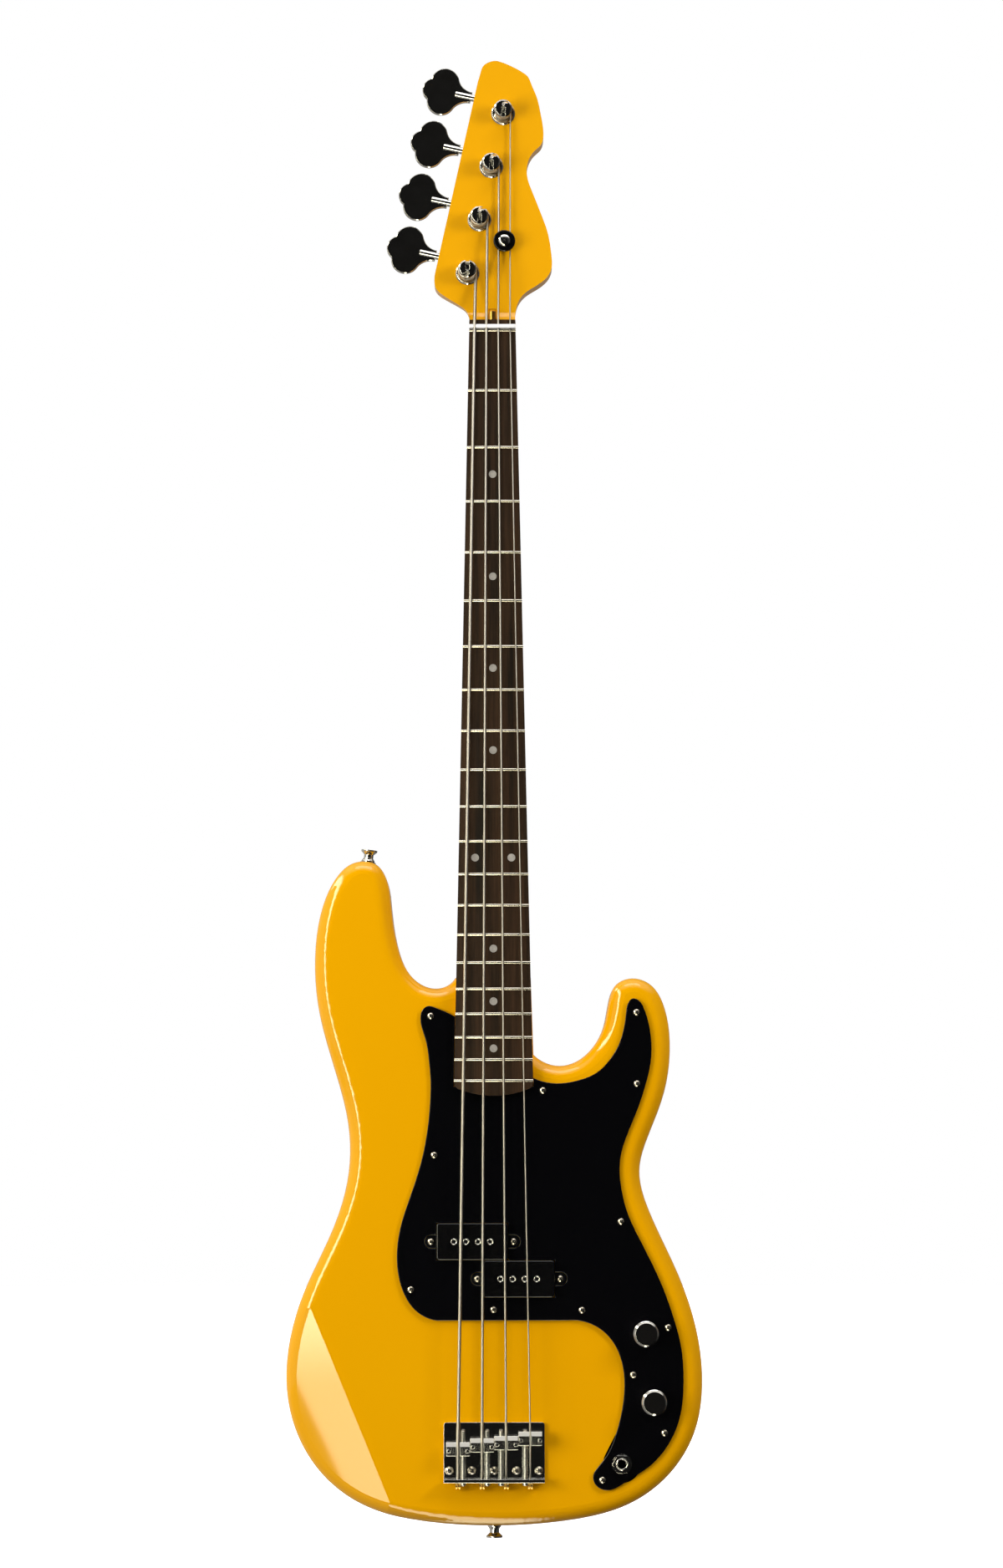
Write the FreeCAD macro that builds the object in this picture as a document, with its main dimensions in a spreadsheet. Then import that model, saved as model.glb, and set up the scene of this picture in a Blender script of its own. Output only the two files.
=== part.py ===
import FreeCAD, Part
import math
import os
import re

import Sketcher
from FreeCAD import Placement, Rotation, Vector

# Electric bass guitar, standing upright in its own frame, in millimetres.
# +Z points to the headstock, the strings face -Y, and +X is the thin-string side.
# The origin lies on the centre line at the scale's zero point, on the neck's flat top under the fretboard.

SIZES = {
    # Scale, neck and fretboard
    "scale_length": 863.6,
    "fret_count": 20,
    "nut_width": 36.8,
    "heel_width": 61.0,
    "board_thickness": 6.0,
    "board_radius": 254.0,
    "board_above_zero": 8.8,
    "board_margin": 11.6,
    "board_end_rise": 6.7,
    "board_end_corner": 5.0,
    "heel_margin": 4.0,
    "heel_length": 96.0,
    "heel_depth": 19.0,
    "heel_corner": 5.0,
    "heel_nose": 9.0,
    "neck_depth": 14.0,
    "neck_depth_at_heel": 16.4,
    "volute_length": 39.0,
    "fret_width": 2.2,
    "fret_height": 1.1,
    "tang_depth": 1.6,
    "tang_thickness": 0.6,
    "dot_diameter": 6.0,
    "dot_depth": 1.5,
    "double_dot_spacing": 28.2,
    "side_dot_diameter": 2.2,
    "nut_thickness": 3.2,
    "nut_seat_depth": 3.0,
    "nut_rise": 3.4,
    "nut_gap": 0.1,
    "rod_diameter": 5.0,
    "rod_length": 520.0,
    "rod_axis_depth": 4.2,
    "rod_nut_diameter": 6.0,
    "rod_nut_length": 9.0,
    "rod_key_size": 3.2,
    "rod_channel_width": 6.6,
    # Headstock
    "headstock_length": 224.5,
    "headstock_half_width": 47.3,
    "headstock_thickness": 14.0,
    "headstock_drop": 6.5,
    "headstock_slope_end": 17.5,
    # Tuning machines
    "tuner_first_x": -19.7,
    "tuner_first_z": 49.7,
    "tuner_pitch": 44.7,
    "tuner_lean": 12.3,
    "bushing_flange_diameter": 19.2,
    "bushing_flange_height": 2.0,
    "bushing_diameter": 14.2,
    "bushing_length": 12.0,
    "post_diameter": 10.0,
    "post_height": 15.2,
    "post_cap_diameter": 14.4,
    "post_cap_height": 3.0,
    "post_cap_round": 1.1,
    "post_hole_diameter": 3.4,
    "post_slot_width": 3.2,
    "gear_seat_diameter": 6.8,
    "plate_length": 37.0,
    "plate_width": 27.0,
    "plate_thickness": 1.5,
    "plate_corner": 4.0,
    "plate_tail": 15.5,
    "ear_thickness": 2.0,
    "ear_half_width": 4.6,
    "tooth_module": 1.0,
    "gear_teeth": 20,
    "gear_thickness": 5.0,
    "gear_tooth_width": 1.05,
    "worm_diameter": 8.0,
    "worm_thread_width": 1.1,
    "worm_length": 16.0,
    "worm_axis_drop": 7.0,
    "tooth_addendum": 0.9,
    "tooth_dedendum": 1.25,
    "pressure_angle": 20.0,
    "worm_tail": 1.2,
    "shaft_diameter": 5.4,
    "key_reach": 52.7,
    "key_thickness": 3.2,
    "key_lobe_radius": 11.4,
    "key_tip_radius": 10.0,
    "key_side_offset": 8.2,
    "key_tip_offset": 6.8,
    "key_flare_radius": 14.0,
    "key_neck_width": 9.0,
    "key_edge": 0.6,
    "shaft_overlap": 13.0,
    "plate_screw_diameter": 2.6,
    "plate_screw_head": 5.0,
    "plate_screw_head_height": 1.5,
    "plate_screw_length": 10.0,
    "plate_screw_side": 10.2,
    "plate_screw_low": 11.6,
    "plate_screw_high": 4.6,
    "gear_screw_diameter": 3.0,
    "gear_screw_head": 7.6,
    "gear_screw_head_height": 1.8,
    "gear_screw_length": 6.0,
    # String tree
    "tree_z": 74.5,
    "tree_diameter": 17.4,
    "tree_thickness": 3.0,
    "tree_stem_diameter": 5.0,
    "tree_string_height": 4.2,
    "tree_screw_diameter": 2.8,
    "tree_screw_head": 7.0,
    "tree_screw_head_height": 1.8,
    "tree_screw_length": 16.0,
    # Strings, thickest first
    "string_e_diameter": 2.66,
    "string_a_diameter": 2.16,
    "string_d_diameter": 1.66,
    "string_g_diameter": 1.14,
    "string_e_pitch": 3.3,
    "string_a_pitch": 2.7,
    "string_d_pitch": 2.2,
    "string_g_pitch": 1.7,
    "nut_spacing": 9.33,
    "bridge_spacing": 18.35,
    "string_rise": 4.2,
    "string_bend_radius": 4.0,
    "string_level_run": 8.0,
    "string_tail_length": 3.0,
    "string_touch": 0.05,
    "wrap_clearance": 0.12,
    "ball_diameter": 5.6,
    "ball_length": 4.0,
    "ball_waist": 0.7,
    # Body
    "body_length": 510.3,
    "body_half_width": 160.0,
    "body_thickness": 43.0,
    "body_edge_radius": 11.0,
    "heel_to_tail": 334.7,
    "pocket_clearance": 0.2,
    "arm_contour_depth": 11.0,
    "arm_contour_reach": 47.0,
    "belly_contour_radius": 190.0,
    "belly_contour_depth": 12.0,
    "neck_plate_length": 64.0,
    "neck_plate_width": 51.0,
    "neck_plate_thickness": 1.6,
    "neck_plate_corner": 4.0,
    "neck_plate_inset": 10.0,
    "neck_screw_inset": 6.5,
    "neck_screw_diameter": 4.6,
    "neck_screw_head": 8.8,
    "neck_screw_head_height": 2.2,
    "neck_screw_length": 40.0,
    "strap_head_diameter": 12.6,
    "strap_waist_diameter": 7.4,
    "strap_base_diameter": 10.4,
    "strap_height": 9.6,
    "strap_hole_diameter": 4.2,
    "strap_lean": 7.0,
    "strap_seat_depth": 1.3,
    "felt_diameter": 12.4,
    "felt_thickness": 1.6,
    "strap_screw_diameter": 3.8,
    "strap_screw_head": 7.2,
    "strap_screw_head_height": 2.2,
    "strap_screw_length": 32.0,
    # Pickguard
    "guard_thickness": 2.5,
    "guard_above_body": 1.0,
    "guard_gap": 0.4,
    "guard_screw_diameter": 2.8,
    "guard_screw_head": 5.4,
    "guard_screw_head_height": 1.4,
    "guard_screw_length": 13.0,
    # Split pickup
    "pickup_to_bridge": 134.7,
    "pickup_bass_x": -16.6,
    "pickup_treble_x": 19.1,
    "cover_length": 54.8,
    "cover_width": 27.9,
    "cover_rise": 5.5,
    "cover_depth": 8.0,
    "cover_wall": 1.6,
    "cover_corner": 2.2,
    "cover_edge": 0.9,
    "pickup_half_gap": 0.5,
    "ear_offset": 31.8,
    "ear_radius": 4.8,
    "cover_ear_thickness": 3.0,
    "pole_diameter": 4.9,
    "pole_spacing": 9.3,
    "pole_rise": 0.4,
    "coil_length": 48.0,
    "coil_width": 17.0,
    "coil_height": 8.0,
    "flatwork_thickness": 1.4,
    "foam_gap": 2.4,
    "pickup_screw_diameter": 2.8,
    "pickup_screw_head": 5.4,
    "pickup_screw_head_height": 1.6,
    "pickup_screw_length": 24.0,
    "pickup_drop": 2.0,
    "pickup_cavity_depth": 17.0,
    "pickup_cavity_margin": 1.5,
    # Controls and output jack
    "volume_x": 116.1,
    "volume_to_bridge": 79.0,
    "tone_x": 122.0,
    "tone_to_bridge": 27.4,
    "jack_x": 97.5,
    "jack_behind_bridge": 19.5,
    "cavity_radius": 17.0,
    "cavity_depth": 33.0,
    "channel_radius": 6.0,
    "channel_depth": 12.0,
    "knob_diameter": 19.4,
    "knob_top_diameter": 18.2,
    "knob_height": 16.0,
    "knob_gap": 0.6,
    "knob_recess_diameter": 16.4,
    "knob_recess_depth": 6.6,
    "knob_edge": 0.8,
    "knob_groove": 0.45,
    "shaft_insert": 1.5,
    "pot_shaft_diameter": 6.0,
    "pot_bushing_diameter": 9.4,
    "pot_bushing_height": 6.4,
    "pot_case_diameter": 24.0,
    "pot_case_height": 9.0,
    "pot_lug_width": 14.0,
    "pot_lug_length": 17.0,
    "pot_lug_thickness": 1.4,
    "pot_nut_size": 12.6,
    "pot_nut_height": 2.2,
    "washer_thickness": 1.2,
    "washer_diameter": 15.0,
    "jack_bore_diameter": 6.5,
    "jack_barrel_diameter": 9.4,
    "jack_barrel_rise": 3.4,
    "jack_barrel_depth": 6.6,
    "jack_flange_diameter": 17.0,
    "jack_flange_thickness": 2.0,
    "jack_leaf_length": 24.0,
    "jack_leaf_width": 5.0,
    "jack_leaf_thickness": 0.8,
    "jack_nut_size": 12.7,
    "jack_nut_height": 2.0,
    "capacitor_length": 15.0,
    "capacitor_diameter": 7.0,
    "wire_diameter": 1.6,
    "wire_bend_radius": 3.5,
    # Bridge
    "bridge_width": 77.0,
    "bridge_front_gap": 12.0,
    "bridge_length": 44.6,
    "bridge_plate_thickness": 2.5,
    "bridge_corner": 2.0,
    "lip_thickness": 2.6,
    "lip_height": 13.0,
    "bridge_screw_setback": 8.4,
    "bridge_screw_spacing": 17.1,
    "bridge_screw_count": 5,
    "bridge_screw_diameter": 3.6,
    "bridge_screw_head": 6.6,
    "bridge_screw_head_height": 2.2,
    "bridge_screw_length": 22.0,
    "saddle_width": 18.0,
    "saddle_length": 10.4,
    "saddle_height": 8.8,
    "saddle_crown_setback": 3.4,
    "saddle_nose_drop": 1.6,
    "saddle_tail_drop": 1.8,
    "saddle_seat_depth": 0.6,
    "saddle_seat_clearance": 0.15,
    "saddle_e_setback": 5.6,
    "saddle_a_setback": 2.6,
    "saddle_d_setback": 0.9,
    "saddle_g_setback": -2.2,
    "height_screw_diameter": 2.6,
    "height_screw_side": 7.2,
    "height_screw_setback": 6.6,
    "height_screw_proud": 0.8,
    "intonation_diameter": 3.0,
    "intonation_head": 4.6,
    "intonation_head_height": 2.4,
    "intonation_side": 3.9,
    "intonation_height": 7.0,
    "intonation_tip": 6.4,
    "lip_string_height": 2.4,
    "lip_string_hole": 3.8,
    "spring_wire": 0.6,
    "spring_diameter": 4.1,
    "spring_turns": 12,
    # Clearances shared by many fits
    "screw_clearance": 0.1,
    "running_clearance": 0.08,
    "body_gap": 0.3,
    "cut_overrun": 8.0,
}

doc = FreeCAD.newDocument("bass_guitar")
sheet = doc.addObject("Spreadsheet::Sheet", "sizes")
for row, (name, value) in enumerate(SIZES.items(), 1):
    sheet.set(f"A{row}", name)
    sheet.set(f"B{row}", str(value))
    sheet.setAlias(f"B{row}", name)
doc.recompute()

X_AXIS = Vector(1, 0, 0)
Y_AXIS = Vector(0, 1, 0)
Z_AXIS = Vector(0, 0, 1)
FRONT = Vector(0, -1, 0)
BACK = Vector(0, 1, 0)
nodes = []


# Working tools for sketches, lathe parts and groups

def cell(formula):
    """Point every word of a formula at its cell."""
    return re.sub(r"[a-z][a-z_]+", lambda word: "sizes." + word.group(), formula)


def keep(item, label):
    """Name an object as one sub-part."""
    item.Label = label
    nodes.append(item)
    return item


def solid_node(label, shapes):
    """One sub-part made of one or more separate solids."""
    item = doc.addObject("Part::Feature", label)
    item.Shape = shapes[0] if len(shapes) == 1 else Part.makeCompound(shapes)
    return keep(item, label)


def tool(name, shapes):
    """Several cutting shapes joined into one tool."""
    item = doc.addObject("Part::Feature", name)
    item.Shape = shapes[0].fuse(shapes[1:]) if len(shapes) > 1 else shapes[0]
    return item


def boolean(kind, name, base, other):
    item = doc.addObject(kind, name)
    item.Base = base
    item.Tool = other
    return item


def new_sketch(body, role, offset=None):
    sketch = body.newObject("Sketcher::SketchObject", body.Name + "_sketch")
    support = [item for item in body.Origin.OriginFeatures if item.Role == role]
    sketch.AttachmentSupport = [(support[0], "")]
    sketch.MapMode = "FlatFace"
    if offset:
        sketch.setExpression("AttachmentOffset.Base.z", cell(offset))
    return sketch


def hold_point(sketch, place, point, formulas):
    """Fix one sketch point by two cell formulas."""
    for kind, formula, value in zip(("DistanceX", "DistanceY"), formulas, (point.x, point.y)):
        number = sketch.addConstraint(Sketcher.Constraint(kind, -1, 1, *place, value))
        sketch.setExpression(f"Constraints[{number}]", cell(formula))


def draw_polygon(sketch, corners):
    """Closed outline with every corner held by cell formulas."""
    points = []
    for x, y in corners:
        points.append(Vector(sketch.evalExpression(cell(x)), sketch.evalExpression(cell(y)), 0))
    count = len(points)
    first = sketch.GeometryCount
    for i, point in enumerate(points):
        sketch.addGeometry(Part.LineSegment(point, points[(i + 1) % count]))
    for i, point in enumerate(points):
        following = first + (i + 1) % count
        sketch.addConstraint(Sketcher.Constraint("Coincident", first + i, 2, following, 1))
        hold_point(sketch, (first + i, 1), point, corners[i])


def draw_circle(sketch, x, y, radius):
    centre = Vector(sketch.evalExpression(cell(x)), sketch.evalExpression(cell(y)), 0)
    value = sketch.evalExpression(cell(radius))
    ring = sketch.addGeometry(Part.Circle(centre, Z_AXIS, value))
    hold_point(sketch, (ring, 3), centre, (x, y))
    number = sketch.addConstraint(Sketcher.Constraint("Radius", ring, value))
    sketch.setExpression(f"Constraints[{number}]", cell(radius))


def new_body(name):
    return doc.addObject("PartDesign::Body", name)


def feature(body, kind, sketch, length, reverse=False):
    """Pad or Pocket of a sketch, with its length bound to a formula."""
    item = body.newObject("PartDesign::" + kind, body.Name + "_" + kind.lower())
    item.Profile = sketch
    item.setExpression("Length", cell(length))
    item.Reversed = reverse
    return item


def turned(name, corners):
    """Lathe part about its own Z axis, from corners given as radius and height."""
    body = new_body(name)
    sketch = new_sketch(body, "XZ_Plane")
    draw_polygon(sketch, corners)
    turn = body.newObject("PartDesign::Revolution", name + "_turn")
    turn.Profile = sketch
    turn.ReferenceAxis = (sketch, ["V_Axis"])
    turn.Angle = 360
    return body


def screw(name, prefix):
    """Round-headed wood screw with a tapered point, head upwards from its seat at zero height."""
    head, rise = prefix + "_head", prefix + "_head_height"
    shank, length = prefix + "_diameter", prefix + "_length"
    return turned(name, [
        ("0", rise), (f"{head} * 0.25", rise), (f"{head} * 0.42", f"{rise} * 0.7"), (f"{head} / 2", "0"),
        (f"{shank} / 2", "0"), (f"{shank} / 2", f"{shank} - {length}"), ("0", f"-{length}")])


def placed(shape, point, axis=FRONT):
    """Copy of a shape with its own Z axis turned to an axis and its origin at a point."""
    copy = shape.copy()
    copy.Placement = Placement(point, Rotation(Z_AXIS, axis)).multiply(copy.Placement)
    return copy


def rod(point, axis, length, diameter):
    return Part.makeCylinder(diameter / 2, length, point, axis)


def spline(points):
    curve = Part.BSplineCurve()
    curve.interpolate(points)
    return curve.toShape()


def line(start, end):
    return Part.LineSegment(start, end).toShape()


# Lines that the whole instrument is set out from

s = sheet


def fret_z(number):
    return -s.scale_length * (1 - 2 ** (-number / 12))


last_fret_z = fret_z(s.fret_count)
heel_end_z = last_fret_z - s.heel_margin
heel_start_z = heel_end_z + s.heel_length
board_end_z = last_fret_z - s.board_margin
tail_z = heel_end_z - s.heel_to_tail
bridge_z = -s.scale_length
guard_top_y = s.guard_above_body
body_top_y = s.guard_above_body + s.guard_thickness
body_back_y = body_top_y + s.body_thickness
face_y = s.headstock_drop
headstock_back_y = face_y + s.headstock_thickness
over = s.cut_overrun


def neck_half_width(z):
    return (s.nut_width + (s.heel_width - s.nut_width) * z / heel_end_z) / 2


def arch_drop(x):
    """How far the arched fretboard has fallen at a distance from its centre line."""
    return s.board_radius - math.sqrt(s.board_radius ** 2 - x ** 2)


def body_point(share, y=0):
    return Vector(share[0] * s.body_half_width, y, tail_z + share[1] * s.body_length)


def headstock_point(share, y=0):
    return Vector(share[0] * s.headstock_half_width, y, share[1] * s.headstock_length)


# Tuning machine frames: local X runs along the worm, Y to the headstock's tip and Z to the front

lean = math.radians(s.tuner_lean)
along_shaft = Vector(math.cos(lean), 0, -math.sin(lean))
along_row = Vector(math.sin(lean), 0, math.cos(lean))
tuner_turn = Rotation(along_shaft, along_row, FRONT, "ZXY")
first_post = Vector(s.tuner_first_x, face_y, s.tuner_first_z)
STRINGS = ("e", "a", "d", "g")
post_points = [first_post + along_row * (s.tuner_pitch * i) for i in range(len(STRINGS))]
tuner_frames = [Placement(point, tuner_turn) for point in post_points]


def at_tuner(shape, frame):
    copy = shape.copy()
    copy.Placement = frame.multiply(copy.Placement)
    return copy


# String routes: ball end, bridge lip, saddle, zero fret, string tree or not, and the turns on the post

WRAP_TURN_SHARES = (1.633, 2.133, 3.133, 4.133)
TAIL_LEAVE_ANGLE = math.radians(42)
string_radii = [getattr(s, f"string_{name}_diameter") / 2 for name in STRINGS]
wrap_pitches = [getattr(s, f"string_{name}_pitch") for name in STRINGS]
saddle_setbacks = [getattr(s, f"saddle_{name}_setback") for name in STRINGS]
middle = (len(STRINGS) - 1) / 2
nut_xs = [(i - middle) * s.nut_spacing for i in range(len(STRINGS))]
bridge_xs = [(i - middle) * s.bridge_spacing for i in range(len(STRINGS))]
saddle_zs = [bridge_z - setback for setback in saddle_setbacks]
bridge_front_z = bridge_z + s.bridge_front_gap
lip_rear_z = bridge_front_z - s.bridge_length
lip_front_z = lip_rear_z + s.lip_thickness
plate_top_y = body_top_y - s.bridge_plate_thickness
lip_string_y = plate_top_y - s.lip_string_height
crown_top_y = -s.board_thickness - s.fret_height
tree_under_y = face_y - s.tree_string_height
saddle_seat_ys = [crown_top_y - s.string_rise + arch_drop(x) for x in bridge_xs]
tree_strings = (2, 3)


def bent_run(points, radius):
    """Straight runs joined by tangent arcs of one radius."""
    edges = []
    start = points[0]
    for before, corner, after in zip(points, points[1:], points[2:]):
        inward = (before - corner).normalize()
        outward = (after - corner).normalize()
        half_turn = (math.pi - inward.getAngle(outward)) / 2
        reach = radius * math.tan(half_turn)
        bisector = (inward + outward).normalize()
        centre = corner + bisector * (radius / math.cos(half_turn))
        near, far = corner + inward * reach, corner + outward * reach
        edges.append(line(start, near))
        edges.append(Part.Arc(near, centre - bisector * radius, far).toShape())
        start = far
    edges.append(line(start, points[-1]))
    return edges


def arc_between(start, corner, end):
    """Arc that touches both sides of a corner of equal sides."""
    weight = math.cos((corner - start).getAngle(end - start))
    crown = (start + corner * (2 * weight) + end) * (1 / (2 + 2 * weight))
    return Part.Arc(start, crown, end).toShape()


def biarc(start, start_way, end, end_way):
    """Two arcs that join two points along two given directions."""
    span = end - start
    both = start_way + end_way
    spread = 2 * (1 - start_way.dot(end_way))
    pull = span.dot(both)
    if spread < 1e-9:
        reach = span.dot(span) / (4 * span.dot(end_way))
    else:
        reach = (math.sqrt(pull ** 2 + spread * span.dot(span)) - pull) / spread
    first = start + start_way * reach
    second = end - end_way * reach
    joint = (first + second) * 0.5
    return [arc_between(start, first, joint), arc_between(joint, second, end)]


def coil(origin, across, up, axis, radius, pitch, turns, level_ends):
    """Helix of quarter turns, each a pair of arcs, from the across direction round towards up."""
    steps = max(1, math.ceil(turns * 4))
    points, ways = [], []
    for step in range(steps + 1):
        angle = 2 * math.pi * turns * step / steps
        height = pitch * turns * step / steps
        outward = across * math.cos(angle) + up * math.sin(angle)
        around = up * math.cos(angle) - across * math.sin(angle)
        flat = level_ends and step in (0, steps)
        climb = 0 if flat else pitch / (2 * math.pi * radius)
        points.append(origin + outward * radius + axis * height)
        ways.append((around + axis * climb).normalize())
    edges = []
    for i in range(steps):
        edges += biarc(points[i], ways[i], points[i + 1], ways[i + 1])
    return edges, points[-1], ways[-1]


def tube(edges, radius):
    """Round tube along a smooth path."""
    path = Part.Wire(edges)
    start = edges[0].valueAt(edges[0].FirstParameter)
    way = edges[0].tangentAt(edges[0].FirstParameter)
    ring = Part.Wire([Part.Circle(start, way, radius).toShape()])
    return path.makePipeShell([ring], True, False)


def least_self_gap(edges, diameter):
    """Smallest clear distance between stretches of one wire that lie more than half a turn apart."""
    spots, run = [], 0
    for edge in edges:
        count = max(2, int(edge.Length / (diameter * 0.25)))
        for step in range(count):
            share = step / count
            position = edge.FirstParameter + share * (edge.LastParameter - edge.FirstParameter)
            spots.append((run + share * edge.Length, edge.valueAt(position)))
        run += edge.Length
    least = run
    for i, (here, point) in enumerate(spots):
        for there, other in spots[i + 1:]:
            if there - here > diameter * 3:
                least = min(least, point.distanceToPoint(other))
    return least - diameter


def wrap_radius(i):
    return s.post_diameter / 2 + s.wrap_clearance + string_radii[i]


def wrap_height(i):
    """Height of the first turn's centre above the headstock face."""
    return s.bushing_flange_height + s.body_gap + string_radii[i]


def lane_x(i, z):
    """Where a string lies across the headstock at a height above the zero fret."""
    post = post_points[i]
    return nut_xs[i] + (post.x + wrap_radius(i) - nut_xs[i]) * z / (post.z - s.string_level_run)


def taut_points(i):
    """Corners of a string from the bridge lip to the foot of its post."""
    radius = string_radii[i]
    wrap_y = face_y - wrap_height(i)
    post = post_points[i]
    wrap_x = post.x + wrap_radius(i)
    nut_exit_z = s.fret_width + s.nut_gap + s.nut_thickness
    zero_y = crown_top_y + arch_drop(nut_xs[i]) - radius - s.string_touch
    points = [
        Vector(bridge_xs[i], lip_string_y, lip_rear_z - s.string_touch),
        Vector(bridge_xs[i], lip_string_y, lip_front_z + s.lip_thickness / 2),
        Vector(bridge_xs[i], saddle_seat_ys[i] - radius, saddle_zs[i]),
        Vector(nut_xs[i], zero_y, nut_exit_z)]
    if i in tree_strings:
        under_y = tree_under_y + s.string_touch + radius
        for z in (s.tree_z - s.tree_diameter / 2, s.tree_z + s.tree_diameter / 2):
            points.append(Vector(lane_x(i, z), under_y, z))
    points.append(Vector(wrap_x, wrap_y, post.z - s.string_level_run))
    points.append(Vector(wrap_x, wrap_y, post.z))
    return points


def tail_edges(i, start, angle):
    """From the last turn inwards through the post's slot and down its bore."""
    radius = wrap_radius(i)
    inner = radius * math.sin(TAIL_LEAVE_ANGLE) / (1 + math.sin(TAIL_LEAVE_ANGLE))
    reach = (radius - inner) * math.cos(TAIL_LEAVE_ANGLE)
    post = post_points[i]
    slot_angle = angle + TAIL_LEAVE_ANGLE
    sweep = math.pi / 2 + TAIL_LEAVE_ANGLE
    outward = X_AXIS * math.cos(angle) + Z_AXIS * math.sin(angle)
    around = Z_AXIS * math.cos(angle) - X_AXIS * math.sin(angle)
    centre = start - outward * inner

    def on_turn(part):
        return centre + (outward * math.cos(part) + around * math.sin(part)) * inner

    slot_way = X_AXIS * math.cos(slot_angle) + Z_AXIS * math.sin(slot_angle)
    axis_point = Vector(post.x, start.y, post.z)
    mouth = axis_point + slot_way * reach
    bend_centre = mouth + BACK * reach
    bend_end = axis_point + BACK * reach
    bend_middle = bend_centre + (FRONT - slot_way).normalize() * reach
    return [
        Part.Arc(start, on_turn(sweep / 2), mouth).toShape(),
        Part.Arc(mouth, bend_middle, bend_end).toShape(),
        line(bend_end, bend_end + BACK * s.string_tail_length)], slot_way


def string_path(i):
    """Whole centre line of a string, with the direction of the slot that its end lies in."""
    points = taut_points(i)
    edges = bent_run(points, s.string_bend_radius)
    foot = Vector(post_points[i].x, points[-1].y, post_points[i].z)
    turns, end, way = coil(
        foot, X_AXIS, Z_AXIS, FRONT, wrap_radius(i), wrap_pitches[i], WRAP_TURN_SHARES[i], True)
    tail, slot_way = tail_edges(i, end, 2 * math.pi * WRAP_TURN_SHARES[i])
    return edges, turns, tail, slot_way


string_paths = [string_path(i) for i in range(len(STRINGS))]


# Neck: one maple piece from headstock to heel, lofted behind the fretboard and let into the body

SECTION_POINTS = 12
SHAFT_FULLNESS = 2.3
VOLUTE_Z_SHARES = (0, 0.18, 0.35, 0.52, 0.68, 0.84, 1)
VOLUTE_WIDTH_SHARES = (0, 0.01, 0.05, 0.22, 0.5, 0.82, 1)
VOLUTE_DEPTH_SHARES = (0, 0.07, 0.22, 0.48, 0.75, 0.93, 1)
VOLUTE_FULLNESS = (SHAFT_FULLNESS, 2.4, 2.6, 3.0, 3.6, 4.6, 6.0)
HEADSTOCK_LEFT_SHARES = (
    (-0.391, 0.058), (-0.436, 0.083), (-0.529, 0.101), (-0.666, 0.119), (-0.835, 0.142), (-0.943, 0.164),
    (-0.977, 0.192), (-0.960, 0.227))
HEADSTOCK_RIGHT_SHARES = (
    (-0.237, 0.926), (-0.195, 0.957), (-0.140, 0.983), (-0.053, 0.995), (0.059, 1.000), (0.175, 0.994),
    (0.338, 0.979), (0.507, 0.959), (0.613, 0.940), (0.666, 0.914), (0.753, 0.869), (0.825, 0.802),
    (0.869, 0.726), (0.829, 0.692), (0.712, 0.667), (0.613, 0.632), (0.584, 0.599), (0.607, 0.559),
    (0.681, 0.516), (0.808, 0.446), (0.932, 0.372), (0.998, 0.285), (0.989, 0.232), (0.892, 0.200),
    (0.689, 0.169), (0.550, 0.149), (0.450, 0.122), (0.400, 0.092))


def back_section(z, half_width, depth, fullness, rise):
    """Section with upright sides above the flat top and a back that goes from round to square."""
    points = []
    for step in range(SECTION_POINTS + 1):
        angle = math.pi * step / SECTION_POINTS
        across = math.copysign(abs(math.cos(angle)) ** (2 / fullness), math.cos(angle))
        down = abs(math.sin(angle)) ** (2 / fullness)
        points.append(Vector(half_width * across, depth * down, z))
    corners = [points[-1], Vector(-half_width, -rise, z), Vector(half_width, -rise, z), points[0]]
    return Part.Wire([spline(points)] + [line(start, end) for start, end in zip(corners, corners[1:])])


def neck_shaft():
    join_z = heel_start_z - s.heel_nose
    top = back_section(0, neck_half_width(0), s.neck_depth, SHAFT_FULLNESS, over)
    foot = back_section(join_z, neck_half_width(join_z), s.neck_depth_at_heel, SHAFT_FULLNESS, over)
    return Part.makeLoft([top, foot], True, True)


def neck_heel():
    """Square block with rounded rear corners and a rounded nose towards the shaft."""
    half_start, half_end = neck_half_width(heel_start_z), neck_half_width(heel_end_z)
    corners = [
        Vector(-half_start, -over, heel_start_z), Vector(half_start, -over, heel_start_z),
        Vector(half_end, -over, heel_end_z), Vector(-half_end, -over, heel_end_z)]
    block = Part.Face(Part.makePolygon(corners + corners[:1])).extrude(BACK * (s.heel_depth + over))
    uprights = [
        edge for edge in block.Edges
        if edge.BoundBox.YLength > s.heel_corner and edge.CenterOfMass.z < heel_end_z + s.heel_corner]
    block = block.makeFillet(s.heel_corner, uprights)
    nose = [
        edge for edge in block.Edges
        if edge.BoundBox.YMin > s.heel_depth - s.heel_corner
        and edge.CenterOfMass.z > heel_start_z - s.heel_corner]
    return block.makeFillet(s.heel_nose, nose)


def headstock_outline():
    """Face of the headstock's front outline, from the top of the fretboard upwards."""
    half = neck_half_width(s.board_above_zero)
    left_foot = Vector(-half, 0, s.board_above_zero)
    right_foot = Vector(half, 0, s.board_above_zero)
    left = [left_foot] + [headstock_point(share) for share in HEADSTOCK_LEFT_SHARES]
    right = [headstock_point(share) for share in HEADSTOCK_RIGHT_SHARES] + [right_foot]
    edges = [spline(left), line(left[-1], right[0]), spline(right), line(right_foot, left_foot)]
    return Part.Face(Part.Wire(edges))


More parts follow.
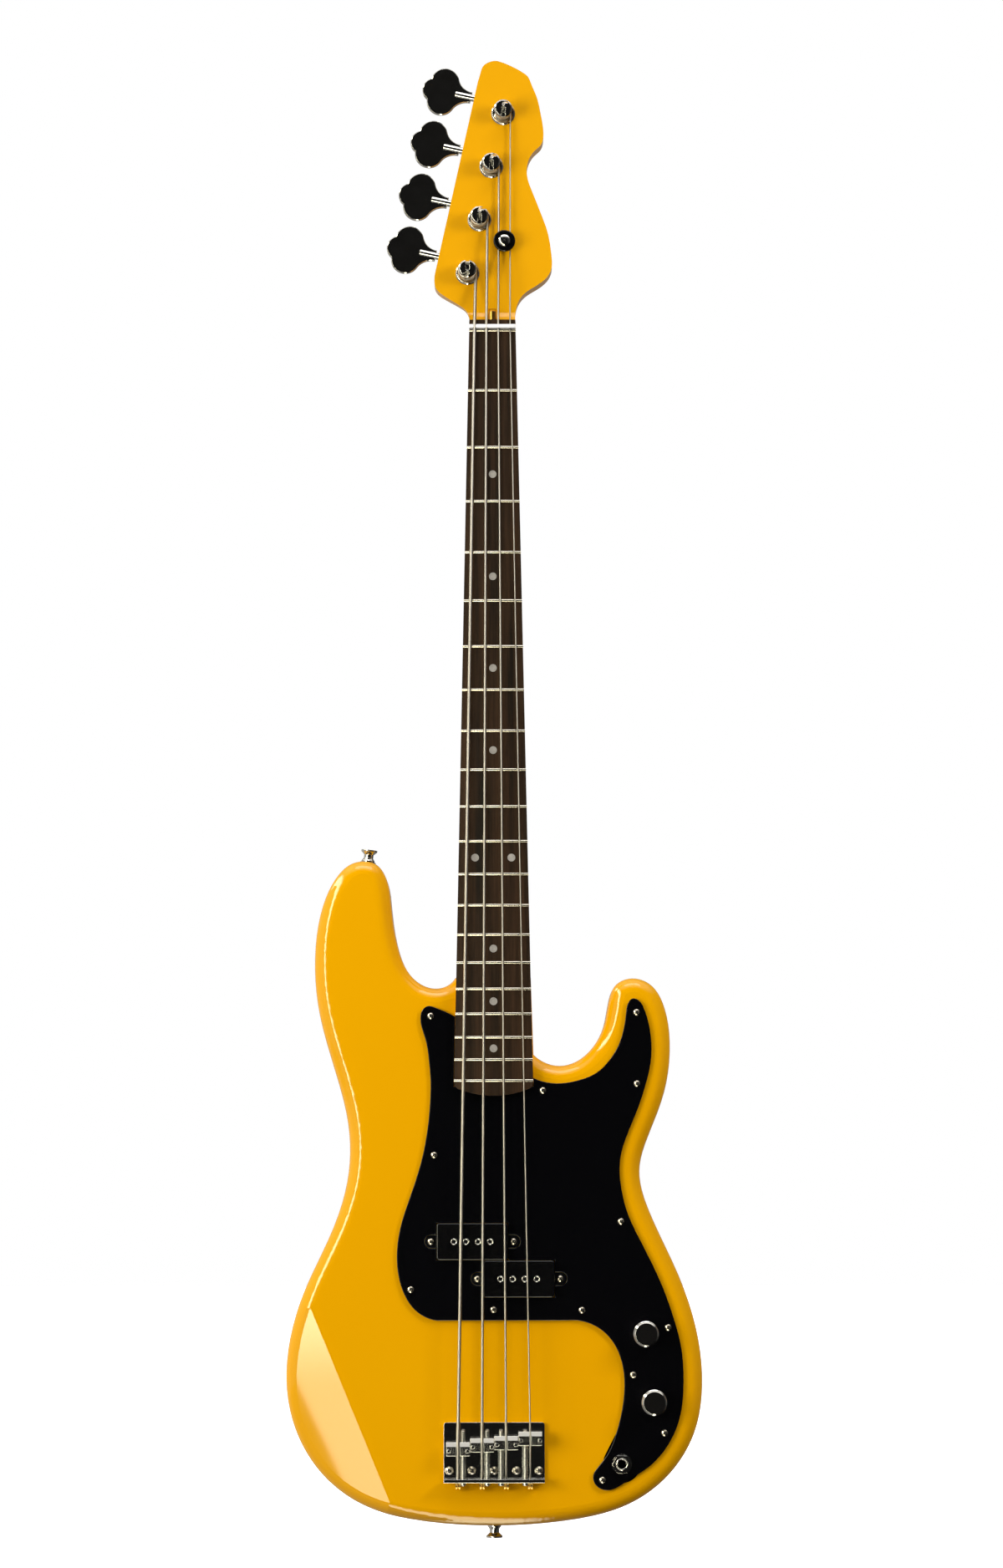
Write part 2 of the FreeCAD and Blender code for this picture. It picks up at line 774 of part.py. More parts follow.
def headstock_blank():
    """Headstock slab whose back swells out of the shaft through a lofted volute."""
    sections = []
    narrow, wide = neck_half_width(0), s.headstock_half_width * 1.15
    for z_share, width_share, depth_share, fullness in zip(
            VOLUTE_Z_SHARES, VOLUTE_WIDTH_SHARES, VOLUTE_DEPTH_SHARES, VOLUTE_FULLNESS):
        half_width = narrow + (wide - narrow) * width_share
        depth = s.neck_depth + (headstock_back_y - s.neck_depth) * depth_share
        sections.append(back_section(z_share * s.volute_length, half_width, depth, fullness, over))
    volute = Part.makeLoft(sections, True, True)
    strip = Part.makeBox(
        2 * narrow, s.neck_depth + over, 2 * s.board_above_zero, Vector(-narrow, -over, -s.board_above_zero))
    slab = headstock_outline().translated(FRONT * over).extrude(BACK * (headstock_back_y + over))
    upper = Part.makeBox(
        4 * s.headstock_half_width, 2 * headstock_back_y, s.headstock_length,
        Vector(-2 * s.headstock_half_width, -headstock_back_y, s.volute_length))
    return volute.common(slab.fuse(strip)).fuse(slab.common(upper))


def headstock_front_cut():
    """What is cut away over the flat top and the headstock's face, with a hollow slope between them."""
    foot = Vector(0, 0, s.board_above_zero)
    end = Vector(0, face_y, s.headstock_slope_end)
    crown = (foot + end) * 0.5 + Vector(0, 1, -1) * (s.headstock_drop * 0.1)
    far = s.headstock_length + over
    corners = [
        end, Vector(0, face_y, far), Vector(0, -2 * over, far), Vector(0, -2 * over, -s.scale_length),
        Vector(0, 0, -s.scale_length), foot]
    edges = [Part.Arc(foot, crown, end).toShape()]
    edges += [line(start, stop) for start, stop in zip(corners, corners[1:])]
    side = 2 * s.headstock_half_width
    return Part.Face(Part.Wire(edges)).extrude(X_AXIS * (2 * side)).translated(X_AXIS * -side)


rod_top_z = s.board_above_zero
rod_channel_depth = s.rod_axis_depth + s.rod_channel_width / 2
rod_recess_z = s.headstock_slope_end + s.headstock_drop / 2
neck_screw_points = [
    Vector(side * (s.neck_plate_width / 2 - s.neck_screw_inset), body_back_y + s.neck_plate_thickness,
           heel_end_z + s.neck_plate_inset + inset)
    for side in (-1, 1)
    for inset in (s.neck_screw_inset, s.neck_plate_length - s.neck_screw_inset)]
plate_back = -s.headstock_thickness - s.plate_thickness
plate_screw_spots = [
    Vector(side * s.plate_screw_side, y, plate_back)
    for side in (-1, 1) for y in (-s.plate_screw_low, s.plate_screw_high)]
tree_lanes = [lane_x(i, s.tree_z) for i in tree_strings]
tree_point = Vector(sum(tree_lanes) / len(tree_lanes), face_y, s.tree_z)


def neck_cuts():
    """Front relief, truss-rod channel, bushing bores and screw holes."""
    channel = Part.makeBox(
        s.rod_channel_width, over + rod_channel_depth, s.rod_length + rod_recess_z - rod_top_z,
        Vector(-s.rod_channel_width / 2, -over, rod_top_z - s.rod_length))
    cuts = [headstock_front_cut(), channel]
    for frame in tuner_frames:
        bore = s.bushing_diameter + 2 * s.screw_clearance
        through = s.headstock_thickness + 2 * over
        cuts.append(at_tuner(rod(Vector(0, 0, -through + over), Z_AXIS, through, bore), frame))
        for spot in plate_screw_spots:
            hole = rod(spot, Z_AXIS, s.plate_screw_length + s.screw_clearance,
                       s.plate_screw_diameter + 2 * s.screw_clearance)
            cuts.append(at_tuner(hole, frame))
    cuts.append(rod(tree_point, BACK, s.tree_screw_length, s.tree_screw_diameter + 2 * s.screw_clearance))
    for point in neck_screw_points:
        length = s.neck_screw_length + s.screw_clearance
        cuts.append(rod(point, FRONT, length, s.neck_screw_diameter + 2 * s.screw_clearance))
    return cuts


neck_blank = tool("neck_blank", [neck_shaft(), neck_heel(), headstock_blank()])
neck = keep(boolean("Part::Cut", "neck", neck_blank, tool("neck_cuts", neck_cuts())), "neck")


# Fretboard: tapered rosewood blank with an arched top and a curved end

MARKED_FRETS = (3, 5, 7, 9, 12, 15, 17, 19)
DOUBLE_FRET = 12


def board_outline():
    top, corner = s.board_above_zero, board_end_z + s.board_end_rise
    half_top, half_end = neck_half_width(top), neck_half_width(corner)
    corners = [
        Vector(-half_end, 0, corner), Vector(-half_top, 0, top),
        Vector(half_top, 0, top), Vector(half_end, 0, corner)]
    edges = [line(start, end) for start, end in zip(corners, corners[1:])]
    edges.append(Part.Arc(corners[3], Vector(0, 0, board_end_z), corners[0]).toShape())
    return Part.Face(Part.Wire(edges))


board_face = doc.addObject("Part::Feature", "board_outline")
board_face.Shape = board_outline()
board_slab = doc.addObject("Part::Extrusion", "board_slab")
board_slab.Base = board_face
board_slab.DirMode = "Custom"
board_slab.Dir = FRONT
board_slab.Solid = True
board_slab.setExpression("LengthFwd", cell("board_thickness"))
board_arch = doc.addObject("Part::Cylinder", "board_arch")
board_arch.setExpression("Radius", cell("board_radius"))
board_arch.setExpression("Height", cell("scale_length"))
board_axis = Vector(0, s.board_radius - s.board_thickness, 0)
board_arch.Placement.Base = board_axis + Vector(0, 0, s.board_above_zero + over - s.scale_length)
board_arched = boolean("Part::Common", "board_arched", board_slab, board_arch)
doc.recompute()
board_blank = doc.addObject("Part::Feature", "board_blank")
board_blank.Shape = board_arched.Shape.makeFillet(s.board_end_corner, [
    edge for edge in board_arched.Shape.Edges
    if edge.BoundBox.YLength > s.board_thickness / 3 and edge.BoundBox.XLength < s.fret_width
    and edge.CenterOfMass.z < last_fret_z and edge.BoundBox.ZLength < s.fret_width])


def arched_bar(profile, z):
    """Bar across the board, bent to its arch, from a profile drawn on the centre line."""
    half_angle = math.degrees(math.asin(neck_half_width(z) / s.board_radius))
    start = profile.copy()
    start.rotate(board_axis, Z_AXIS, -half_angle)
    return start.revolve(board_axis, Z_AXIS, 2 * half_angle)


def fret_bar(z):
    top = -s.board_thickness
    half, stem = s.fret_width / 2, s.tang_thickness / 2
    corners = [
        Vector(0, top, z + half), Vector(0, top, z + stem), Vector(0, top + s.tang_depth, z + stem),
        Vector(0, top + s.tang_depth, z - stem), Vector(0, top, z - stem), Vector(0, top, z - half)]
    edges = [line(start, end) for start, end in zip(corners, corners[1:])]
    edges.append(Part.Arc(corners[-1], Vector(0, top - s.fret_height, z), corners[0]).toShape())
    return arched_bar(Part.Face(Part.Wire(edges)), z)


def fret_slot(z):
    top = -s.board_thickness
    stem = s.tang_thickness / 2 + s.string_touch
    low = top + s.tang_depth + s.string_touch
    corners = [Vector(0, y, z + side * stem) for y, side in ((-over, -1), (low, -1), (low, 1), (-over, 1))]
    wide = arched_bar(Part.Face(Part.makePolygon(corners + corners[:1])), z - over)
    return wide


fret_places = [fret_z(number) for number in range(s.fret_count + 1)]
solid_node("frets", [fret_bar(z) for z in fret_places])


def marker_holes():
    """Round seats for the dots on the face and on the bass edge, halfway between frets."""
    holes = []
    for number in MARKED_FRETS:
        z = (fret_z(number) + fret_z(number - 1)) / 2
        xs = (0,)
        shifts = (0,)
        if number == DOUBLE_FRET:
            xs = (-s.double_dot_spacing / 2, s.double_dot_spacing / 2)
            shifts = (-s.dot_diameter / 2, s.dot_diameter / 2)
        for x in xs:
            floor = arch_drop(x) - s.board_thickness + s.dot_depth
            holes.append(rod(Vector(x, floor, z), FRONT, over, s.dot_diameter))
        for shift in shifts:
            edge_x = -neck_half_width(z) + s.dot_depth
            side = Vector(edge_x, -s.board_thickness / 3, z + shift)
            holes.append(rod(side, X_AXIS * -1, over, s.side_dot_diameter))
    return holes


dot_holes = marker_holes()
solid_node("position_markers", [hole.common(board_blank.Shape) for hole in dot_holes])
nut_front_z = s.fret_width / 2 + s.nut_gap
nut_slot = Part.makeBox(
    2 * s.nut_width, s.nut_seat_depth + over, s.nut_thickness,
    Vector(-s.nut_width, -s.board_thickness - over, nut_front_z))
board_cuts = tool("board_cuts", [nut_slot] + [fret_slot(z) for z in fret_places] + dot_holes)
keep(boolean("Part::Cut", "fretboard", board_blank, board_cuts), "fretboard")


# Nut: bone block in a slot behind the zero fret, grooved by the strings

nut_half = neck_half_width(nut_front_z + s.nut_thickness)
nut_block = doc.addObject("Part::Box", "nut_block")
nut_block.Placement.Base = Vector(-nut_half, -s.board_thickness - s.nut_rise, nut_front_z)
nut_block.setExpression("Height", cell("nut_thickness"))
nut_block.setExpression("Width", cell("nut_rise + nut_seat_depth"))
nut_block.Length = 2 * nut_half
nut_rounded = doc.addObject("Part::Fillet", "nut_rounded")
nut_rounded.Base = nut_block
doc.recompute()
nut_rounded.Edges = [
    (number, s.nut_rise / 4, s.nut_rise / 4) for number, edge in enumerate(nut_block.Shape.Edges, 1)
    if edge.BoundBox.YMax < -s.board_thickness]
groove_tubes = []
for i in range(len(STRINGS)):
    groove_tubes.append(tube(string_paths[i][0][4:7], string_radii[i] + s.saddle_seat_clearance))
keep(boolean("Part::Cut", "nut", nut_rounded, tool("nut_grooves", groove_tubes)), "nut")


# Truss rod in its channel under the fretboard, with a socket nut at the headstock end

rod_bar = doc.addObject("Part::Cylinder", "truss_rod")
rod_bar.setExpression("Radius", cell("rod_diameter / 2"))
rod_bar.setExpression("Height", cell("rod_length - body_gap"))
rod_bar.Placement.Base = Vector(0, s.rod_axis_depth, rod_top_z - s.rod_length + s.body_gap)
keep(rod_bar, "truss_rod")
rod_nut = turned("truss_rod_nut", [
    ("0", "0"), ("rod_nut_diameter / 2 - key_edge", "0"), ("rod_nut_diameter / 2", "key_edge"),
    ("rod_nut_diameter / 2", "rod_nut_length - key_edge"),
    ("rod_nut_diameter / 2 - key_edge", "rod_nut_length"), ("0", "rod_nut_length")])
doc.recompute()
socket = new_sketch(rod_nut, "XY_Plane", "rod_nut_length")
HEX_SHARES = ((1, 0), (0.5, 0.866), (-0.5, 0.866), (-1, 0), (-0.5, -0.866), (0.5, -0.866))
draw_polygon(socket, [(f"rod_key_size / 1.732 * {x}", f"rod_key_size / 1.732 * {y}") for x, y in HEX_SHARES])
feature(rod_nut, "Pocket", socket, "rod_nut_length / 2")
rod_nut.Placement.Base = Vector(0, s.rod_axis_depth, rod_top_z + s.body_gap)
keep(rod_nut, "truss_rod_nut")


# Body: solid wood slab with rounded rims, arm and belly contours, neck pocket and routed cavities

BODY_SHARES = (
    (-0.186, 0.821), (-0.226, 0.809), (-0.287, 0.805), (-0.382, 0.818), (-0.464, 0.866), (-0.497, 0.928),
    (-0.526, 0.976), (-0.571, 0.995), (-0.616, 1.000), (-0.702, 0.995), (-0.763, 0.977), (-0.836, 0.928),
    (-0.870, 0.851), (-0.851, 0.774), (-0.772, 0.682), (-0.704, 0.596), (-0.701, 0.530), (-0.781, 0.439),
    (-0.913, 0.349), (-0.993, 0.259), (-0.999, 0.199), (-0.954, 0.139), (-0.841, 0.080), (-0.647, 0.033),
    (-0.367, 0.008), (0.000, 0.000), (0.367, 0.008), (0.656, 0.033), (0.852, 0.080), (0.963, 0.139),
    (1.000, 0.206), (0.976, 0.287), (0.881, 0.378), (0.750, 0.468), (0.705, 0.529), (0.761, 0.590),
    (0.831, 0.651), (0.857, 0.716), (0.834, 0.773), (0.766, 0.810), (0.672, 0.820), (0.596, 0.810),
    (0.559, 0.782), (0.532, 0.743), (0.474, 0.712), (0.405, 0.694), (0.316, 0.687), (0.242, 0.693),
    (0.194, 0.704))
ARM_CREASE_SHARES = ((-0.878, 0.322), (-0.499, 0.037))
BELLY_SHARE = (-0.42, 0.56)


def body_outline():
    """Face of the body's outline, closed by the square shelf that carries the neck's heel."""
    points = [body_point(share, body_top_y) for share in BODY_SHARES]
    shelf_z = points[0].z
    corner = Vector(neck_half_width(shelf_z) + s.body_gap, body_top_y, shelf_z)
    edges = [spline(points), line(points[-1], corner), line(corner, points[0])]
    return Part.Face(Part.Wire(edges))


def arm_contour():
    """Wedge whose underside slopes from the crease down to the lower bass edge."""
    start, end = (body_point(share, body_top_y) for share in ARM_CREASE_SHARES)
    along = (end - start).normalize()
    outward = BACK.cross(along)
    slope = math.atan2(s.arm_contour_depth, s.arm_contour_reach)
    downhill = outward * math.cos(slope) + BACK * math.sin(slope)
    length = s.body_half_width
    block = Part.makeBox(length, 3 * length, s.body_thickness)
    leaning = Rotation(downhill, along, downhill.cross(along), "XYZ")
    block.Placement = Placement(start - along * length, leaning)
    return block


def belly_contour():
    """Large round cutter that scoops the back at the bass-side waist."""
    start = body_point(BELLY_SHARE, body_back_y + s.belly_contour_radius)
    slope = math.atan2(s.belly_contour_depth, s.arm_contour_reach)
    way = Vector(-math.cos(slope), -math.sin(slope), 0)
    return rod(start - way * s.body_half_width, way, 2 * s.body_half_width, 2 * s.belly_contour_radius)


body_face = doc.addObject("Part::Feature", "body_outline")
body_face.Shape = body_outline()
body_slab = doc.addObject("Part::Extrusion", "body_slab")
body_slab.Base = body_face
body_slab.DirMode = "Custom"
body_slab.Dir = BACK
body_slab.Solid = True
body_slab.setExpression("LengthFwd", cell("body_thickness"))
body_contoured = boolean("Part::Cut", "body_contoured", body_slab, tool("arm_contour", [arm_contour()]))
doc.recompute()


def rim_edges(shape):
    """Numbers of the edges where an upright side wall meets the front or the back."""
    numbers = []
    for number, edge in enumerate(shape.Edges, 1):
        walls = [
            face for face in shape.ancestorsOfType(edge, Part.Face)
            if abs(face.normalAt(*face.Surface.parameter(face.CenterOfMass)).y) < 0.001]
        if len(walls) == 1:
            numbers.append(number)
    return numbers


body_rounded = doc.addObject("Part::Fillet", "body_rounded")
body_rounded.Base = body_contoured
body_rounded.Edges = [
    (number, s.body_edge_radius, s.body_edge_radius) for number in rim_edges(body_contoured.Shape)]

volume_point = Vector(s.volume_x, guard_top_y, bridge_z + s.volume_to_bridge)
tone_point = Vector(s.tone_x, guard_top_y, bridge_z + s.tone_to_bridge)
jack_point = Vector(s.jack_x, guard_top_y, bridge_z - s.jack_behind_bridge)
half_step = (s.cover_width + s.pickup_half_gap) / 2
pickup_z = bridge_z + s.pickup_to_bridge
pickup_points = {
    "bass": Vector(s.pickup_bass_x, guard_top_y, pickup_z + half_step),
    "treble": Vector(s.pickup_treble_x, guard_top_y, pickup_z - half_step)}
GUARD_SCREW_SHARES = (
    (-0.304, 0.762), (0.693, 0.767), (0.238, 0.649), (0.693, 0.659), (-0.287, 0.552), (-0.399, 0.351),
    (-0.001, 0.321), (0.422, 0.320), (0.612, 0.452), (0.835, 0.294), (0.666, 0.224), (0.814, 0.138),
    (0.516, 0.069))
guard_screw_points = [body_point(share, guard_top_y) for share in GUARD_SCREW_SHARES]
bridge_screw_z = lip_front_z + s.bridge_screw_setback - s.lip_thickness
bridge_screw_points = [
    Vector((i - (s.bridge_screw_count - 1) / 2) * s.bridge_screw_spacing, plate_top_y, bridge_screw_z)
    for i in range(s.bridge_screw_count)]
body_middle_y = body_top_y + s.body_thickness / 2
strap_angle = math.radians(s.strap_lean)
horn_tip = max((body_point(share, body_middle_y) for share in BODY_SHARES), key=lambda point: point.z)
horn_way = Vector(math.sin(strap_angle), 0, math.cos(strap_angle))
strap_seats = [
    (horn_tip - horn_way * s.strap_seat_depth, horn_way),
    (Vector(0, body_middle_y, tail_z + s.strap_seat_depth), Z_AXIS * -1)]


def stadium(start, end, radius, depth):
    """Round-ended slot routed into the body's front."""
    span = end - start
    ends = [rod(point, BACK, depth, 2 * radius) for point in (start, end)]
    block = Part.makeBox(span.Length, 2 * radius, depth)
    way = span.normalize()
    across = BACK.cross(way)
    block.Placement = Placement(start - across * radius, Rotation(way, across, BACK, "XYZ"))
    return ends[0].fuse([ends[1], block])


def body_cuts():
    half_top, half_end = neck_half_width(heel_start_z + over), neck_half_width(heel_end_z)
    gap = s.pocket_clearance
    high_z, low_z = heel_start_z + over, heel_end_z - gap
    corners = [
        Vector(-half_top - gap, -over, high_z), Vector(half_top + gap, -over, high_z),
        Vector(half_end + gap, -over, low_z), Vector(-half_end - gap, -over, low_z)]
    pocket = Part.Face(Part.makePolygon(corners + corners[:1])).extrude(BACK * (s.heel_depth + over))
    cuts = [pocket, belly_contour()]

    def on_body(point):
        return Vector(point.x, body_top_y - s.guard_thickness, point.z)

    depth = s.cavity_depth + s.guard_thickness
    cuts.append(stadium(on_body(volume_point), on_body(tone_point), s.cavity_radius, depth))
    cuts.append(stadium(on_body(tone_point), on_body(jack_point), s.cavity_radius * 0.85, depth))
    margin = s.pickup_cavity_margin
    for point in pickup_points.values():
        half = s.ear_offset + s.ear_radius + margin
        cuts.append(Part.makeBox(
            2 * half, s.pickup_cavity_depth + s.guard_thickness, s.cover_width + 2 * margin,
            Vector(point.x - half, guard_top_y, point.z - s.cover_width / 2 - margin)))
        for side in (-1, 1):
            ear = Vector(point.x + side * s.ear_offset, guard_top_y, point.z)
            cuts.append(rod(ear, BACK, s.pickup_screw_length + s.pickup_drop + s.body_gap,
                            s.pickup_screw_diameter + 2 * s.screw_clearance))
    link = pickup_points["treble"] + X_AXIS * s.ear_offset
    cuts.append(stadium(on_body(link), on_body(volume_point), s.channel_radius,
                        s.channel_depth + s.guard_thickness))
    for points, prefix in ((guard_screw_points, "guard_screw"), (bridge_screw_points, "bridge_screw")):
        for point in points:
            length = getattr(s, prefix + "_length") + s.screw_clearance
            cuts.append(rod(point, BACK, length, getattr(s, prefix + "_diameter") + 2 * s.screw_clearance))
    for point in neck_screw_points:
        cuts.append(rod(point, FRONT, s.neck_screw_length, s.neck_screw_diameter + 2 * s.screw_clearance))
    for seat, way in strap_seats:
        cuts.append(rod(seat, way, over, s.felt_diameter + 2 * s.screw_clearance))
        cuts.append(rod(seat, way * -1, s.strap_screw_length, s.strap_screw_diameter + 2 * s.screw_clearance))
    return cuts


keep(boolean("Part::Cut", "body", body_rounded, tool("body_cuts", body_cuts())), "body")


# Neck plate with its four long screws, on the back of the body

def corner_edges(base, length_axis, reach):
    """Names of a plate's short upright corner edges."""
    names = []
    for number, edge in enumerate(base.Shape.Edges, 1):
        box = edge.BoundBox
        spans = {"x": box.XLength, "y": box.YLength, "z": box.ZLength}
        own = spans.pop(length_axis)
        straight = edge.Curve.TypeId == "Part::GeomLine"
        if straight and max(spans.values()) < reach * 0.001 and abs(own - reach) < reach * 0.01:
            names.append(f"Edge{number}")
    return names


def round_corners(body, base, length_axis, reach, radius):
    doc.recompute()
    rounding = body.newObject("PartDesign::Fillet", body.Name + "_corners")
    rounding.Base = (base, corner_edges(base, length_axis, reach))
    rounding.setExpression("Radius", cell(radius))
    return rounding


def rectangle(half_x, half_y):
    left, low = f"-({half_x})", f"-({half_y})"
    return [(left, low), (half_x, low), (half_x, half_y), (left, half_y)]


neck_plate = new_body("neck_plate")
plate_sketch = new_sketch(neck_plate, "XZ_Plane")
draw_polygon(plate_sketch, rectangle("neck_plate_width / 2", "neck_plate_length / 2"))
for side_x in ("", "-"):
    for side_y in ("", "-"):
        draw_circle(
            plate_sketch, f"{side_x}(neck_plate_width / 2 - neck_screw_inset)",
            f"{side_y}(neck_plate_length / 2 - neck_screw_inset)",
            "neck_screw_diameter / 2 + screw_clearance")
plate_pad = feature(neck_plate, "Pad", plate_sketch, "neck_plate_thickness")
round_corners(neck_plate, plate_pad, "y", s.neck_plate_thickness, "neck_plate_corner")
neck_plate.Placement.Base = Vector(
    0, body_back_y + s.neck_plate_thickness, heel_end_z + s.neck_plate_inset + s.neck_plate_length / 2)
keep(neck_plate, "neck_plate")

neck_screw = screw("neck_screw", "neck_screw")
doc.recompute()
solid_node("neck_screws", [placed(neck_screw.Shape, point, BACK) for point in neck_screw_points])


# Strap buttons: turned steel with a flared head, each on a felt washer and held by a wood screw

strap_button = turned("strap_button", [
    ("strap_hole_diameter / 2", "0"), ("strap_base_diameter / 2", "0"),
    ("strap_base_diameter / 2", "strap_height * 0.12"), ("strap_waist_diameter / 2", "strap_height * 0.34"),
    ("strap_waist_diameter / 2", "strap_height * 0.62"), ("strap_head_diameter / 2", "strap_height * 0.88"),
    ("strap_head_diameter / 2", "strap_height"), ("strap_screw_head / 2 + screw_clearance", "strap_height"),
    ("strap_screw_head / 2 + screw_clearance", "strap_height - strap_screw_head_height * 0.8"),
    ("strap_hole_diameter / 2", "strap_height - strap_screw_head_height * 0.8")])
strap_felt = turned("strap_felt", [
    ("strap_hole_diameter / 2", "0"), ("felt_diameter / 2", "0"), ("felt_diameter / 2", "felt_thickness"),
    ("strap_hole_diameter / 2", "felt_thickness")])
strap_screw = screw("strap_screw", "strap_screw")
doc.recompute()
buttons, felts, strap_screws = [], [], []
for seat, way in strap_seats:
    felts.append(placed(strap_felt.Shape, seat, way))
    buttons.append(placed(strap_button.Shape, seat + way * s.felt_thickness, way))
    head_seat = s.felt_thickness + s.strap_height - s.strap_screw_head_height * 0.8
    strap_screws.append(placed(strap_screw.Shape, seat + way * head_seat, way))
solid_node("strap_buttons", buttons)
solid_node("strap_felts", felts)
solid_node("strap_screws", strap_screws)


# Pickguard: single black plate, let round the neck, pickup, controls and jack

GUARD_TREBLE_SHARES = (
    (0.260, 0.661), (0.333, 0.660), (0.417, 0.665), (0.499, 0.676), (0.556, 0.693),
    (0.601, 0.715), (0.629, 0.741), (0.642, 0.766), (0.654, 0.782), (0.674, 0.788), (0.699, 0.786),
    (0.731, 0.771), (0.754, 0.746), (0.764, 0.715), (0.759, 0.690), (0.741, 0.665), (0.699, 0.624),
    (0.646, 0.584), (0.609, 0.544), (0.613, 0.504), (0.644, 0.464), (0.703, 0.424), (0.767, 0.384),
    (0.822, 0.344), (0.865, 0.304), (0.896, 0.265), (0.906, 0.216), (0.891, 0.166), (0.841, 0.126),
    (0.732, 0.087), (0.636, 0.068), (0.536, 0.054), (0.501, 0.057), (0.477, 0.065), (0.472, 0.076),
    (0.493, 0.087), (0.541, 0.107), (0.581, 0.136), (0.618, 0.186), (0.621, 0.225), (0.584, 0.265),
    (0.536, 0.285), (0.488, 0.296), (0.432, 0.303), (0.356, 0.305))
GUARD_BASS_SHARES = (
    (-0.276, 0.305), (-0.336, 0.311), (-0.392, 0.325), (-0.432, 0.345), (-0.461, 0.377), (-0.465, 0.410),
    (-0.449, 0.444), (-0.409, 0.484), (-0.365, 0.525), (-0.333, 0.565), (-0.308, 0.626), (-0.305, 0.665),
    (-0.313, 0.696), (-0.329, 0.726), (-0.349, 0.746), (-0.354, 0.760), (-0.346, 0.770), (-0.318, 0.777),
    (-0.285, 0.775), (-0.244, 0.770))
GUARD_NECK_SHARES = (0.668, 0.761)


def guard_outline():
    gap = s.guard_gap
    treble_z, bass_z = (tail_z + share * s.body_length for share in GUARD_NECK_SHARES)
    treble_foot = Vector(neck_half_width(treble_z) + gap, body_top_y, treble_z)
    bass_foot = Vector(-neck_half_width(bass_z) - gap, body_top_y, bass_z)
    notch_z = heel_end_z - gap
    half = neck_half_width(notch_z) + gap
    notch = [Vector(-half, body_top_y, notch_z), Vector(half, body_top_y, notch_z)]
    treble = [treble_foot] + [body_point(share, body_top_y) for share in GUARD_TREBLE_SHARES]
    bass = [body_point(share, body_top_y) for share in GUARD_BASS_SHARES] + [bass_foot]
    edges = [
        spline(treble), line(treble[-1], bass[0]), spline(bass), line(bass_foot, notch[0]),
        line(notch[0], notch[1]), line(notch[1], treble_foot)]
    return Part.Face(Part.Wire(edges))


guard_face = doc.addObject("Part::Feature", "guard_outline")
guard_face.Shape = guard_outline()
guard_slab = doc.addObject("Part::Extrusion", "guard_slab")
guard_slab.Base = guard_face
guard_slab.DirMode = "Custom"
guard_slab.Dir = FRONT
guard_slab.Solid = True
guard_slab.setExpression("LengthFwd", cell("guard_thickness"))


def cover_outline(grow):
    """Closed outline of one pickup half with its two screw ears, about its own centre in the XZ plane."""
    half_x, half_z = s.cover_length / 2 + grow, s.cover_width / 2 + grow
    radius = s.ear_radius + grow
    depth = s.guard_thickness + 2 * over
    block = Part.makeBox(2 * half_x, depth, 2 * half_z, Vector(-half_x, -over, -half_z))
    ears = [rod(Vector(side * s.ear_offset, -over, 0), BACK, depth, 2 * radius) for side in (-1, 1)]
    bar = Part.makeBox(2 * s.ear_offset, depth, 2 * radius, Vector(-s.ear_offset, -over, -radius))
    return block.fuse(ears + [bar])


def guard_cuts():
    cuts = [cover_outline(s.guard_gap).translated(point) for point in pickup_points.values()]
    for point, diameter in (
            (volume_point, s.pot_bushing_diameter), (tone_point, s.pot_bushing_diameter),
            (jack_point, s.jack_barrel_diameter)):
        cuts.append(rod(point + FRONT * over, BACK, 2 * over, diameter + 2 * s.screw_clearance))
    for point in guard_screw_points:
        cuts.append(rod(point + FRONT * over, BACK, 2 * over, s.guard_screw_diameter + 2 * s.screw_clearance))
    return cuts


keep(boolean("Part::Cut", "pickguard", guard_slab, tool("guard_cuts", guard_cuts())), "pickguard")
guard_screw = screw("guard_screw", "guard_screw")
doc.recompute()
solid_node("pickguard_screws", [placed(guard_screw.Shape, point) for point in guard_screw_points])


# Tuning machines: bushing in front, plate with two ears behind, key with worm, wheel and string post

WORM_Y = "(tooth_module * gear_teeth + worm_diameter) / 2"
WORM_Z = "-(headstock_thickness + worm_axis_drop)"
PLATE_BACK = "-(headstock_thickness + plate_thickness)"
worm_y = (s.tooth_module * s.gear_teeth + s.worm_diameter) / 2
worm_z = -(s.headstock_thickness + s.worm_axis_drop)
ear_face_x = s.worm_length / 2 + s.body_gap
tooth_pitch = math.pi * s.tooth_module

bushing = turned("tuner_bushing", [
    ("post_diameter / 2 + running_clearance", "-bushing_length"), ("bushing_diameter / 2", "-bushing_length"),
    ("bushing_diameter / 2", "0"), ("bushing_flange_diameter / 2", "0"),
    ("bushing_flange_diameter / 2", "bushing_flange_height / 2"),
    ("bushing_flange_diameter / 2 - bushing_flange_height / 2", "bushing_flange_height"),
    ("post_diameter / 2 + running_clearance", "bushing_flange_height")])

